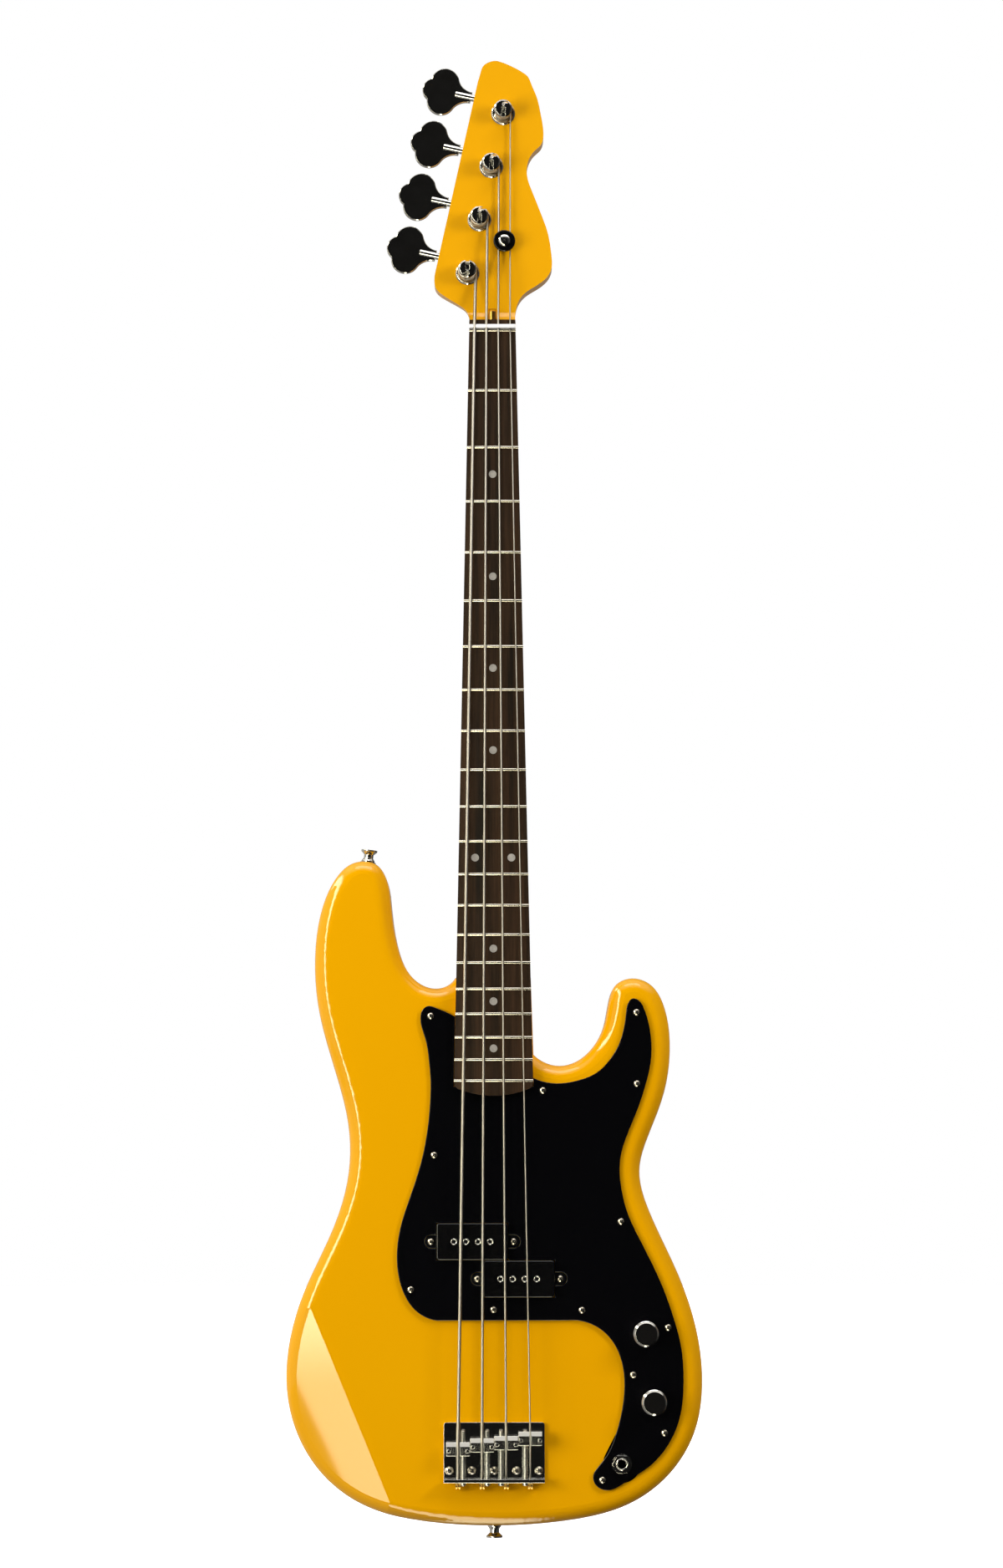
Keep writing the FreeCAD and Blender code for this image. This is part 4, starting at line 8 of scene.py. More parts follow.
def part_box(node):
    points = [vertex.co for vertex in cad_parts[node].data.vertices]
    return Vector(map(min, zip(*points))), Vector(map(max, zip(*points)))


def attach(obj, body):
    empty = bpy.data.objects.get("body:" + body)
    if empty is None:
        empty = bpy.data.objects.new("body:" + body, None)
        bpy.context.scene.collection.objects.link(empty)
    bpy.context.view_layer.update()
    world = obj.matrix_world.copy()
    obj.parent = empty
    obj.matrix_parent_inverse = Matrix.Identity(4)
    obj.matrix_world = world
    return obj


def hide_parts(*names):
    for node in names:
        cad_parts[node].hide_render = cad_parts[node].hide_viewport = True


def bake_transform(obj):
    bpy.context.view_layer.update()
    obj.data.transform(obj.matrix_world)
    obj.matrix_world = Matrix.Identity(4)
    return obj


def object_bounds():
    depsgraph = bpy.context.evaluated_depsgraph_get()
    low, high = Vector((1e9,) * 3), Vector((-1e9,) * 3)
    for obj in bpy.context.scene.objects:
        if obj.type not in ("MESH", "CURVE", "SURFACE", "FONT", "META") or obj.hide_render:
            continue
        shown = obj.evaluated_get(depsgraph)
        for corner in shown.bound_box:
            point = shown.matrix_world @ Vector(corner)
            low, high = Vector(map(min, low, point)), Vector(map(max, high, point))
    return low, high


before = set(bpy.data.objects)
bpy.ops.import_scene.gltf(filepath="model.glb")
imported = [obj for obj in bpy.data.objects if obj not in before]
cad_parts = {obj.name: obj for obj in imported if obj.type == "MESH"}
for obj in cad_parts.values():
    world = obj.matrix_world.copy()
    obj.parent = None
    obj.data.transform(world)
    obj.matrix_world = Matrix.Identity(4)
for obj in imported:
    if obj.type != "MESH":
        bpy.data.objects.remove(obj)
cad_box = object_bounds()

# Studio floor: a wide sheet of plain white paper just under the tail, which takes the part's faint shadow.
# It glows a little, as the picture's ground is pure white, and none of its light falls back on the part.
MM = 0.001
FLOOR_HALF, FLOOR_DROP, FLOOR_GLOW = 6.0, 2 * MM, 0.72


def linear(hex_colour):
    """Linear colour with full alpha from an sRGB hex string."""
    channels = [int(hex_colour[i:i + 2], 16) / 255 for i in (0, 2, 4)]
    return [c / 12.92 if c <= 0.04045 else ((c + 0.055) / 1.055) ** 2.4 for c in channels] + [1]


def set_inputs(node, inputs):
    """Set a node's inputs to constants, or link them to sockets or to another node's first output."""
    for name, value in inputs.items():
        if isinstance(value, bpy.types.Node):
            value = value.outputs[0]
        if isinstance(value, bpy.types.NodeSocket):
            node.id_data.links.new(value, node.inputs[name])
        else:
            node.inputs[name].default_value = value


def new_material(name):
    """Material with its node tree and its shader."""
    material = bpy.data.materials.new(name)
    material.use_nodes = True
    return material, material.node_tree, material.node_tree.nodes["Principled BSDF"]


def new_piece(name, verts, faces, material):
    """Object with a mesh of these corners, in metres, and faces."""
    mesh = bpy.data.meshes.new(name)
    mesh.from_pydata(verts, [], faces)
    mesh.materials.append(material)
    piece = bpy.data.objects.new(name, mesh)
    bpy.context.collection.objects.link(piece)
    return piece


# White paper: matt, so that nothing mirrors in it.
paper, tree, shader = new_material("floor_white_paper")
set_inputs(shader, {"Base Color": linear("FAFAFA"), "Roughness": 0.9,
                    "Emission Color": linear("FFFFFF"), "Emission Strength": FLOOR_GLOW})
floor_z = cad_box[0][2] - FLOOR_DROP
floor_corners = [(x * FLOOR_HALF, y * FLOOR_HALF, floor_z) for x, y in ((-1, -1), (1, -1), (1, 1), (-1, 1))]
floor = new_piece("floor", floor_corners, [(0, 1, 2, 3)], paper)
floor.visible_glossy = False
floor.visible_diffuse = False

# Studio room: white to the eye, with a soft fill that is stronger from the left, from above and from behind.
# Gloss mirrors a darker room with one tall pale strip leaning at the left. In the picture flat chrome and the
# guard look black, and the strip shows on the slope for the arm, sharp-edged and brighter at its upper end.
FILL_SIDES, FILL_LOW, FILL_HEIGHTS = (0.52, 0.28), 0.3, (-0.9, 0.1)
FILL_REAR, REAR_SPAN = 3.2, (0.05, 0.6)
STRIP_LEAN, STRIP_EDGE, STRIP_OUTSIDE = 0.5, (-0.5750, -0.5738), 0.04
STRIP_FADE, STRIP_LEVELS = (-0.23, -0.205), (1.9, 3.8)
PANEL_ENDS = ("FFFFFF", "101010")
PANEL_STOPS = ((0.275, "FFFFFF"), (0.31, "202020"), (0.37, "020202"), (0.70, "020202"), (0.84, "0C0C0C"))
OVERHEAD_SPAN, OVERHEAD_LEVEL = (0.55, 0.8), 0.35
WING_LEVELS, WING_SPAN = (0.16, 0.01), (0.1, 0.5)
GLEAM, ROOM_TINT, STRIP_TINT = 4.0, "FFFAF0", "FFF8D6"


def add_node(tree, kind, inputs=None, **settings):
    """New shader node with its settings and inputs. A Mix node's inputs share names, so they go by number."""
    new = tree.nodes.new("ShaderNode" + kind)
    for name, value in settings.items():
        setattr(new, name, value)
    set_inputs(new, inputs or {})
    return new


world = bpy.data.worlds.new("studio")
world.use_nodes = True
bpy.context.scene.world = world
sky = world.node_tree
sky.nodes.clear()
way = add_node(sky, "SeparateXYZ", {"Vector": add_node(sky, "TexCoord").outputs["Generated"]})
sides = add_node(sky, "MapRange", {
    "Value": way.outputs["X"], "From Min": -1.0, "To Min": FILL_SIDES[0], "To Max": FILL_SIDES[1]})
height = add_node(sky, "MapRange", {
    "Value": way.outputs["Z"], "From Min": FILL_HEIGHTS[0], "From Max": FILL_HEIGHTS[1], "To Min": FILL_LOW})
rear = add_node(sky, "MapRange", {
    "Value": way.outputs["Y"], "From Min": REAR_SPAN[0], "From Max": REAR_SPAN[1], "To Min": 1.0,
    "To Max": FILL_REAR})
frontal = add_node(sky, "Math", {0: sides, 1: height}, operation="MULTIPLY")
level = add_node(sky, "Math", {0: frontal, 1: rear}, operation="MULTIPLY")
fill = add_node(sky, "Background", {"Color": linear("FFFFFF"), "Strength": level})

leaning = add_node(sky, "Math", {
    0: way.outputs["Z"], 1: STRIP_LEAN, 2: way.outputs["X"]}, operation="MULTIPLY_ADD")
across = add_node(sky, "MapRange", {"Value": leaning, "From Min": -1.0, "From Max": 1.0})
panels = add_node(sky, "ValToRGB", {"Fac": across})
for stop, colour in zip(panels.color_ramp.elements, PANEL_ENDS):
    stop.color = linear(colour)
for position, colour in PANEL_STOPS:
    stop = panels.color_ramp.elements.new(position)
    stop.color = linear(colour)
edge = add_node(sky, "MapRange", {
    "Value": leaning, "From Min": STRIP_EDGE[0], "From Max": STRIP_EDGE[1], "To Min": STRIP_OUTSIDE},
    interpolation_type="SMOOTHSTEP")
fade = add_node(sky, "MapRange", {
    "Value": way.outputs["Z"], "From Min": STRIP_FADE[0], "From Max": STRIP_FADE[1],
    "To Min": STRIP_LEVELS[0], "To Max": STRIP_LEVELS[1]}, interpolation_type="SMOOTHSTEP")
strip = add_node(sky, "Math", {0: edge, 1: panels}, operation="MULTIPLY")
strip_light = add_node(sky, "Math", {0: fade, 1: strip}, operation="MULTIPLY")
overhead = add_node(sky, "MapRange", {
    "Value": way.outputs["Z"], "From Min": OVERHEAD_SPAN[0], "From Max": OVERHEAD_SPAN[1],
    "To Max": OVERHEAD_LEVEL})
brightest = add_node(sky, "Math", {0: strip_light, 1: overhead}, operation="MAXIMUM")
wings = add_node(sky, "MapRange", {
    "Value": way.outputs["X"], "From Min": -1.0, "To Min": WING_LEVELS[0], "To Max": WING_LEVELS[1]})
behind = add_node(sky, "MapRange", {
    "Value": way.outputs["Y"], "From Min": WING_SPAN[0], "From Max": WING_SPAN[1]})
around = add_node(sky, "Mix", {0: behind, 2: brightest, 3: wings})
gleam = add_node(sky, "Math", {0: around, 1: GLEAM}, operation="MULTIPLY")
tint = add_node(sky, "Mix", {0: strip, 6: linear(ROOM_TINT), 7: linear(STRIP_TINT)}, data_type="RGBA")
mirrored = add_node(sky, "Background", {"Color": tint.outputs[2], "Strength": gleam})

ray = add_node(sky, "LightPath")
seen = add_node(sky, "Background", {"Color": linear("FFFFFF"), "Strength": 1.0})
lit = add_node(sky, "MixShader", {0: ray.outputs["Is Glossy Ray"], 1: fill, 2: mirrored})
shown = add_node(sky, "MixShader", {0: ray.outputs["Is Camera Ray"], 1: lit, 2: seen})
add_node(sky, "OutputWorld", {"Surface": shown})


# Lamps: a large softbox low at the left for the body, a small one high at the right for the head, and one
# overhead. The two at the sides don't mirror in gloss, where the room's strip takes their place.
def soft_light(name, place, target, width, height, watts, mirrored):
    """Rectangular softbox at a place, turned to a target, with its sides in metres."""
    lamp = bpy.data.lights.new(name, "AREA")
    lamp.shape = "RECTANGLE"
    lamp.size = width
    lamp.size_y = height
    lamp.energy = watts
    light = bpy.data.objects.new(name, lamp)
    bpy.context.collection.objects.link(light)
    light.location = place
    light.rotation_euler = (Vector(target) - Vector(place)).to_track_quat("-Z", "Y").to_euler()
    light.visible_glossy = mirrored


soft_light("left_softbox", (-1.7, -1.3, -0.75), (0, 0, -0.7), 1.2, 1.8, 57, mirrored=False)
soft_light("right_softbox", (1.3, -1.0, 0.3), (0, 0, 0.1), 0.5, 0.6, 14, mirrored=False)
soft_light("top_softbox", (0, -0.9, 1.9), (0, 0, -0.3), 2.0, 1.0, 20, mirrored=True)

# Camera: a long lens far in front of the body and low, tilted up a little and hardly rolled.
# Its place and focal length were fitted to the frets, the centre line and the body's edge in the picture,
# which is 1200 by 1876.
CAMERA_PLACE_MM = (6.54, -2600, -664.8)
CAMERA_TILT_DEG = 6.67
CAMERA_ROLL = -0.0019
FOCAL_PX = 4012.3
IMAGE_HEIGHT_PX = 1876
SENSOR_MM = 36.0
camera_data = bpy.data.cameras.new("camera")
camera_data.sensor_fit = "VERTICAL"
camera_data.sensor_height = SENSOR_MM
camera_data.lens = FOCAL_PX / IMAGE_HEIGHT_PX * SENSOR_MM
camera = bpy.data.objects.new("camera", camera_data)
bpy.context.collection.objects.link(camera)
tilt = Matrix.Rotation(math.radians(90 + CAMERA_TILT_DEG), 4, "X")
roll = Matrix.Rotation(CAMERA_ROLL, 4, "Z")
camera.matrix_world = Matrix.Translation(Vector(CAMERA_PLACE_MM) * MM) @ tilt @ roll
bpy.context.scene.camera = camera
bpy.context.scene.view_settings.view_transform = "Standard"

# Body: solid wood, sawn to its outline and rounded, with a slope for the arm and a hollow for the ribs.
# It is sprayed amber yellow under a thick clear coat, and black in the control cavity under the guard:
# black shielding paint, which also stands in as painted shade for the view through the jack's bore.
# From here on, a size without MM beside it is in millimetres, and so are the patterns' sizes.
PATCH_SIZE, PEEL_SIZE = 200.0, 2.381
CAVITY_HALF_DEPTH, CAVITY_RADIUS = 18.5 * MM, 22 * MM
BODY_MIDDLE_Y = (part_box("body")[0].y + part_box("body")[1].y) / 2


def per_metre(size):
    """Repeats in a metre of a pattern whose size is in millimetres."""
    return 1 / (size * MM)


def dress(material, *names):
    """Give CAD nodes this material."""
    for name in names:
        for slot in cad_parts[name].material_slots:
            slot.material = material


# Sprayed, buffed lacquer: deep even yellow under a mirror-like coat, faintly cloudy, with a trace of peel.
lacquer, tree, shader = new_material("amber_yellow_gloss_lacquer")
spot = add_node(tree, "TexCoord").outputs["Object"]
patches = add_node(tree, "TexNoise", {"Vector": spot, "Scale": per_metre(PATCH_SIZE), "Detail": 2.0})
paint = add_node(tree, "Mix", {0: patches, 6: linear("EBA300"), 7: linear("EFAA01")}, data_type="RGBA")
axes = add_node(tree, "SeparateXYZ", {"Vector": spot})
deep = add_node(tree, "Math", {
    0: axes.outputs["Y"], 1: BODY_MIDDLE_Y, 2: CAVITY_HALF_DEPTH}, operation="COMPARE")
ground = add_node(tree, "CombineXYZ", {"X": axes.outputs["X"], "Z": axes.outputs["Z"]})
# The cavity is black in a round about each control: shielding paint and painted shade for the jack's bore.
for name in ("volume_pot", "tone_pot", "output_jack"):
    low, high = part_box(name)
    centre = ((low.x + high.x) / 2, 0, (low.z + high.z) / 2)
    gap = add_node(tree, "VectorMath", {0: ground, 1: centre}, operation="DISTANCE")
    close = add_node(tree, "Math", {0: gap.outputs["Value"], 1: CAVITY_RADIUS}, operation="LESS_THAN")
    inside = add_node(tree, "Math", {0: close, 1: deep}, operation="MULTIPLY")
    paint = add_node(tree, "Mix", {0: inside, 6: paint.outputs[2], 7: linear("0B0B0B")}, data_type="RGBA")
peel = add_node(tree, "TexNoise", {"Vector": spot, "Scale": per_metre(PEEL_SIZE), "Detail": 1.0})
ripple = add_node(tree, "Bump", {"Height": peel, "Strength": 0.004, "Distance": 0.4 * MM})
set_inputs(shader, {"Base Color": paint.outputs[2], "Roughness": 0.5, "Specular IOR Level": 0.0,
                    "Coat Weight": 1.0, "Coat Roughness": 0.02, "Normal": ripple})
dress(lacquer, "body")

# Neck: one piece of maple from heel to head, carved round at the back and bolted into the body's pocket.
# Only the head's face and its slope carry the body's yellow, and the edges and the back are bare wood.
GRAIN_WIDTH, GRAIN_LENGTH = 11.11, 285.7
PAINT_START, PAINT_FACING = 9.2 * MM, -0.5
# Satin maple: honey-coloured long grain under a thin half-gloss coat. The grain is drawn coarser than real
# maple's, which is too fine to show here.
maple, tree, shader = new_material("satin_maple_with_yellow_face")
spot = add_node(tree, "TexCoord").outputs["Object"]
lengthwise = add_node(tree, "Mapping", {
    "Vector": spot, "Scale": (per_metre(GRAIN_WIDTH), per_metre(GRAIN_WIDTH), per_metre(GRAIN_LENGTH))})
grain = add_node(tree, "TexNoise", {"Vector": lengthwise, "Scale": 1.0, "Detail": 6.0, "Roughness": 0.65})
wood = add_node(tree, "Mix", {0: grain, 6: linear("B5823F"), 7: linear("D6A55E")}, data_type="RGBA")
axes = add_node(tree, "SeparateXYZ", {"Vector": spot})
facing = add_node(tree, "SeparateXYZ", {"Vector": add_node(tree, "NewGeometry").outputs["Normal"]})
above = add_node(tree, "Math", {0: axes.outputs["Z"], 1: PAINT_START}, operation="GREATER_THAN")
frontal = add_node(tree, "Math", {0: facing.outputs["Y"], 1: PAINT_FACING}, operation="LESS_THAN")
painted = add_node(tree, "Math", {0: above, 1: frontal}, operation="MULTIPLY")
paint = add_node(tree, "Mix", {0: painted, 6: wood.outputs[2], 7: linear("E6A200")}, data_type="RGBA")
ripple = add_node(tree, "Bump", {"Height": grain, "Strength": 0.03, "Distance": 0.3 * MM})
set_inputs(shader, {"Base Color": paint.outputs[2], "Roughness": 0.4, "Specular IOR Level": 0.1,
                    "Coat Weight": 0.6, "Coat Roughness": 0.08, "Normal": ripple})
dress(maple, "neck")

# Truss rod and its nut: a steel rod in a groove under the fretboard, tightened by a nut at the head.
# Both are plated, and only the nut's end shows, at the head behind the string nut.
CLOUD_SIZE = 3.333
# Zinc plate with a yellow chromate: brassy and uneven, with cloudy patches of duller shine.
yellowed, tree, shader = new_material("yellow_zinc_plated_steel")
spot = add_node(tree, "TexCoord").outputs["Object"]
clouds = add_node(tree, "TexNoise", {"Vector": spot, "Scale": per_metre(CLOUD_SIZE), "Detail": 3.0})
rough = add_node(tree, "MapRange", {"Value": clouds, "To Min": 0.22, "To Max": 0.4})
set_inputs(shader, {"Base Color": linear("C09648"), "Metallic": 1.0, "Roughness": rough})
dress(yellowed, "truss_rod", "truss_rod_nut")

# Fretboard: a tapered slab of rosewood with an arched top and a curved end, glued on the neck and oiled.
# It is slotted across for the frets and the nut, and drilled for the dots.
STREAK_WIDTH, STREAK_LENGTH, PORE_WIDTH, PORE_LENGTH = 7.692, 200.0, 1.111, 22.22
STREAK_STOPS = ((0.34, "100B06"), (0.68, "3E2B1B"))
# Oiled rosewood: nearly black brown with warmer streaks along the neck and a dull sheen broken by open pores.
# The pores are drawn coarser than real ones, which are too fine to show.
rosewood, tree, shader = new_material("oiled_rosewood")
spot = add_node(tree, "TexCoord").outputs["Object"]
lengthwise = add_node(tree, "Mapping", {
    "Vector": spot, "Scale": (per_metre(STREAK_WIDTH), per_metre(STREAK_WIDTH), per_metre(STREAK_LENGTH))})
streaks = add_node(tree, "TexNoise", {"Vector": lengthwise, "Scale": 1.0, "Detail": 8.0, "Roughness": 0.7})
levels = add_node(tree, "ValToRGB", {"Fac": streaks})
for stop, (position, colour) in zip(levels.color_ramp.elements, STREAK_STOPS):
    stop.position = position
    stop.color = linear(colour)
lengthwise = add_node(tree, "Mapping", {
    "Vector": spot, "Scale": (per_metre(PORE_WIDTH), per_metre(PORE_WIDTH), per_metre(PORE_LENGTH))})
pores = add_node(tree, "TexNoise", {"Vector": lengthwise, "Scale": 1.0, "Detail": 2.0})
ripple = add_node(tree, "Bump", {"Height": pores, "Strength": 0.25, "Distance": 0.3 * MM})
set_inputs(shader, {"Base Color": levels, "Roughness": 0.55, "Specular IOR Level": 0.15, "Normal": ripple})
dress(rosewood, "fretboard")

# Frets: a zero fret and twenty more, bent from wire to the board's arch and pressed into its sawn slots.
# The zero fret, close to the nut, carries the open strings.
SCRATCH_WIDTH, SCRATCH_LENGTH = 0.4, 16.67
# Polished nickel silver: a pale, slightly warm mirror with scratches along the strings, drawn coarse to show.
fret_wire, tree, shader = new_material("polished_nickel_silver")
spot = add_node(tree, "TexCoord").outputs["Object"]
lengthwise = add_node(tree, "Mapping", {
    "Vector": spot, "Scale": (per_metre(SCRATCH_WIDTH), per_metre(SCRATCH_WIDTH), per_metre(SCRATCH_LENGTH))})
scratches = add_node(tree, "TexNoise", {"Vector": lengthwise, "Scale": 1.0, "Detail": 2.0})
rough = add_node(tree, "MapRange", {"Value": scratches, "To Min": 0.14, "To Max": 0.32})
set_inputs(shader, {"Base Color": linear("C9C4B8"), "Metallic": 1.0, "Roughness": rough})
dress(fret_wire, "frets")

# Position dots: round inlays between the frets and small ones in the board's bass edge.
# They are punched from pearl plastic sheet, glued into drilled holes and levelled with the wood.
SWIRL_SIZE = 3.846
# Pearl plastic: grey white with cloudy swirls and a soft polish.
pearl, tree, shader = new_material("cloudy_pearl_plastic")
spot = add_node(tree, "TexCoord").outputs["Object"]
swirl = add_node(tree, "TexNoise", {
    "Vector": spot, "Scale": per_metre(SWIRL_SIZE), "Detail": 3.0, "Distortion": 1.5})
cloudy = add_node(tree, "Mix", {0: swirl, 6: linear("938D81"), 7: linear("CDC6B8")}, data_type="RGBA")
set_inputs(shader, {"Base Color": cloudy.outputs[2], "Roughness": 0.22})
dress(pearl, "position_markers")

# Nut: a white slotted bar across the head's end of the board, glued in a groove behind the zero fret.
# It only spaces the strings, because the zero fret carries them.
FIBRE_LENGTH, FIBRE_WIDTH = 16.67, 1.4286
# Polished bone: off-white with a faint grain along the bar.
bone, tree, shader = new_material("polished_bone")
spot = add_node(tree, "TexCoord").outputs["Object"]
crosswise = add_node(tree, "Mapping", {
    "Vector": spot, "Scale": (per_metre(FIBRE_LENGTH), per_metre(FIBRE_WIDTH), per_metre(FIBRE_WIDTH))})
fibres = add_node(tree, "TexNoise", {"Vector": crosswise, "Scale": 1.0, "Detail": 3.0})
pale = add_node(tree, "Mix", {0: fibres, 6: linear("EEECE8"), 7: linear("FBFAF8")}, data_type="RGBA")
set_inputs(shader, {"Base Color": pale.outputs[2], "Roughness": 0.3})
dress(bone, "nut")

# Tuning machines: four open-gear machines in a slanted row at the back of the head, each held by four screws.
# A stamped plate carries the worm on the key's shaft, the wheel that it turns and the slotted post.
# The post stands in a bushing pressed in from the face.
STRINGS = "eadg"
STAMPED_EDGE, CRISP_EDGE, SCREW_EDGE, EDGE_SAMPLES = 0.5 * MM, 0.12 * MM, 0.5 * MM, 6
SMEAR_SIZE, TURNING_SIZE, BRUSH_WIDTH, BRUSH_LENGTH, GRIME_SIZE = 7.692, 1.111, 0.4545, 3.333, 0.6667
SCREW_APART, TOP_DEPTH = 9.0, 0.1
CROSS_HALF_WIDTH, CROSS_TAPER, CROSS_SINK, CROSS_PROUD = 0.28, 0.7, 0.3, 0.03
CROSS_TURN = math.radians(37)
TUNER_CROSS = 1.1
FRONT, BACK = Vector((0, -1, 0)), Vector((0, 1, 0))


def chrome_plate(name, edge_radius):
    """Electroplated chrome: a near mirror with slight smears in its polish, and edges rounded by a radius."""
    material, tree, shader = new_material(name)
    spot = add_node(tree, "TexCoord").outputs["Object"]
    smears = add_node(tree, "TexNoise", {"Vector": spot, "Scale": per_metre(SMEAR_SIZE), "Detail": 4.0})
    rough = add_node(tree, "MapRange", {"Value": smears, "To Min": 0.05, "To Max": 0.16})
    rounding = add_node(tree, "Bevel", {"Radius": edge_radius}, samples=EDGE_SAMPLES)
    set_inputs(shader, {
        "Base Color": linear("D2D2D0"), "Metallic": 1.0, "Roughness": rough, "Normal": rounding})
    return material


def screw_tops(name, way):
    """Middle of each screw's flat top in a CAD node, for screws that point along a way."""
    groups = []
    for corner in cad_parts[name].data.vertices:
        for group in groups:
            gap = corner.co - group[0]
            if (gap - way * gap.dot(way)).length < SCREW_APART * MM:
                group.append(corner.co)
                break
        else:
            groups.append([corner.co])
    tops = []
    for group in groups:
        height = max(spot.dot(way) for spot in group)
        rim = [spot for spot in group if height - spot.dot(way) < TOP_DEPTH * MM]
        low, high = (Vector([pick(spot[axis] for spot in rim) for axis in range(3)]) for pick in (min, max))
        tops.append((low + high) / 2)
    return tops


def crosses(name, tops, way, reach, body):
    """Cross recesses in screw tops, drawn as thin crosses of painted shade with wings of one reach in
    millimetres.
    """
    wing = CROSS_HALF_WIDTH
    quarter = [(reach, -wing * CROSS_TAPER), (reach, wing * CROSS_TAPER), (wing, wing)]
    verts, faces = [], []
    for number, top in enumerate(tops):
        side = Matrix.Rotation(CROSS_TURN * number, 3, way) @ way.orthogonal().normalized()
        other = way.cross(side)
        start = len(verts)
        for level in (-CROSS_SINK, CROSS_PROUD):
            for turn in range(4):
                angle = math.pi / 2 * turn
                for u, v in quarter:
                    across = u * math.cos(angle) - v * math.sin(angle)
                    along = u * math.sin(angle) + v * math.cos(angle)
                    verts.append(top + (side * across + other * along + way * level) * MM)
        count = 4 * len(quarter)
        faces.append([start + step for step in reversed(range(count))])
        faces.append([start + count + step for step in range(count)])
        for step in range(count):
            after = (step + 1) % count
            faces.append([start + step, start + after, start + count + after, start + count + step])
    piece = new_piece(name, verts, faces, recess)
    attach(piece, body)


# Stamped and turned pieces have edges rounded enough to catch the light, and the thin keys have crisp ones.
chrome = chrome_plate("bright_chrome_plate", STAMPED_EDGE)
crisp_chrome = chrome_plate("bright_chrome_crisp_edges", CRISP_EDGE)
# Machined brass: dull gold whose shine is broken by turning marks, drawn coarse to show.
brass, tree, shader = new_material("machined_brass")
spot = add_node(tree, "TexCoord").outputs["Object"]
marks = add_node(tree, "TexNoise", {"Vector": spot, "Scale": per_metre(TURNING_SIZE), "Detail": 2.0})
rough = add_node(tree, "MapRange", {"Value": marks, "To Min": 0.2, "To Max": 0.4})
set_inputs(shader, {"Base Color": linear("C8A45A"), "Metallic": 1.0, "Roughness": rough})
# Nickel plate on every screw: warmer and softer than the chrome, with soft edges and fine brushing, which is
# drawn coarse to show.
nickel, tree, shader = new_material("brushed_nickel_plate")
spot = add_node(tree, "TexCoord").outputs["Object"]
crosswise = add_node(tree, "Mapping", {
    "Vector": spot, "Scale": (per_metre(BRUSH_WIDTH), per_metre(BRUSH_LENGTH), per_metre(BRUSH_LENGTH))})
brushing = add_node(tree, "TexNoise", {"Vector": crosswise, "Scale": 1.0, "Detail": 3.0})
rough = add_node(tree, "MapRange", {"Value": brushing, "To Min": 0.16, "To Max": 0.3})
rounding = add_node(tree, "Bevel", {"Radius": SCREW_EDGE}, samples=EDGE_SAMPLES)
set_inputs(shader, {"Base Color": linear("D8D0C2"), "Metallic": 1.0, "Roughness": rough, "Normal": rounding})
# Screw recess: nearly black and matt, because no light reaches its floor, with a little grime.
recess, tree, shader = new_material("shadowed_screw_recess")
spot = add_node(tree, "TexCoord").outputs["Object"]
grime = add_node(tree, "TexNoise", {"Vector": spot, "Scale": per_metre(GRIME_SIZE), "Detail": 2.0})
shade = add_node(tree, "Mix", {0: grime, 6: linear("0A0A0A"), 7: linear("242220")}, data_type="RGBA")
set_inputs(shader, {"Base Color": shade.outputs[2], "Roughness": 0.7})
dress(chrome, "tuner_plates", "tuner_bushings")
for name in STRINGS:
    dress(chrome, "tuner_post_" + name)
    dress(crisp_chrome, "tuner_key_" + name)
    dress(brass, "tuner_gear_" + name)
dress(nickel, "tuner_screws")
crosses("crosses_tuner_screws", screw_tops("tuner_screws", BACK), BACK, TUNER_CROSS, "instrument")

# String tree: a round black button that holds two strings down near the head's face, under a domed screw.
# The screw's hole goes through the head, and a maple pin, cut flush, closes it at the back.
TREE_UNDER_Y, TREE_THICK, TREE_Z, TREE_RADIUS = 2.3, 3.0, 74.5, 8.7
TREE_PLACE = (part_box("string_tree")[0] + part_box("string_tree")[1]) / 2 / MM
TREE_TOP_Y = TREE_UNDER_Y - TREE_THICK
DOME_TOP, TREE_CROSS = 2.1, 1.3
DOME_PROFILE = ((4.9, -0.2), (4.9, 0.4), (4.5, 1.1), (3.5, 1.7), (2.2, 2.0), (1.0, DOME_TOP))
PIN_RADIUS, PIN_LENGTH, PIN_SINK, PIN_REACH = 1.55, 3.0, 0.02, 2.5
LATHE_SIDES = 28
MOULD_GRAIN, MOULD_EDGE = 0.625, 0.5 * MM


def lathe(name, profile, place, axis, material, hollow=False):
    """Turned piece about an axis through a place, from radius and height pairs in millimetres."""
    turn = Vector((0, 0, 1)).rotation_difference(Vector(axis)).to_matrix()
    verts, faces = [], []
    for radius, height in profile:
        for step in range(LATHE_SIDES):
            angle = 2 * math.pi * step / LATHE_SIDES
            spot = Vector((radius * math.cos(angle), radius * math.sin(angle), height))
            verts.append((turn @ spot + Vector(place)) * MM)
    for ring in range(len(profile) if hollow else len(profile) - 1):
        for step in range(LATHE_SIDES):
            after = (step + 1) % LATHE_SIDES
            low, high = ring * LATHE_SIDES, (ring + 1) % len(profile) * LATHE_SIDES
            faces.append((low + step, low + after, high + after, high + step))
    if not hollow:
        last = (len(profile) - 1) * LATHE_SIDES
        faces += [tuple(reversed(range(LATHE_SIDES))), tuple(range(last, last + LATHE_SIDES))]
    return new_piece(name, verts, faces, material)


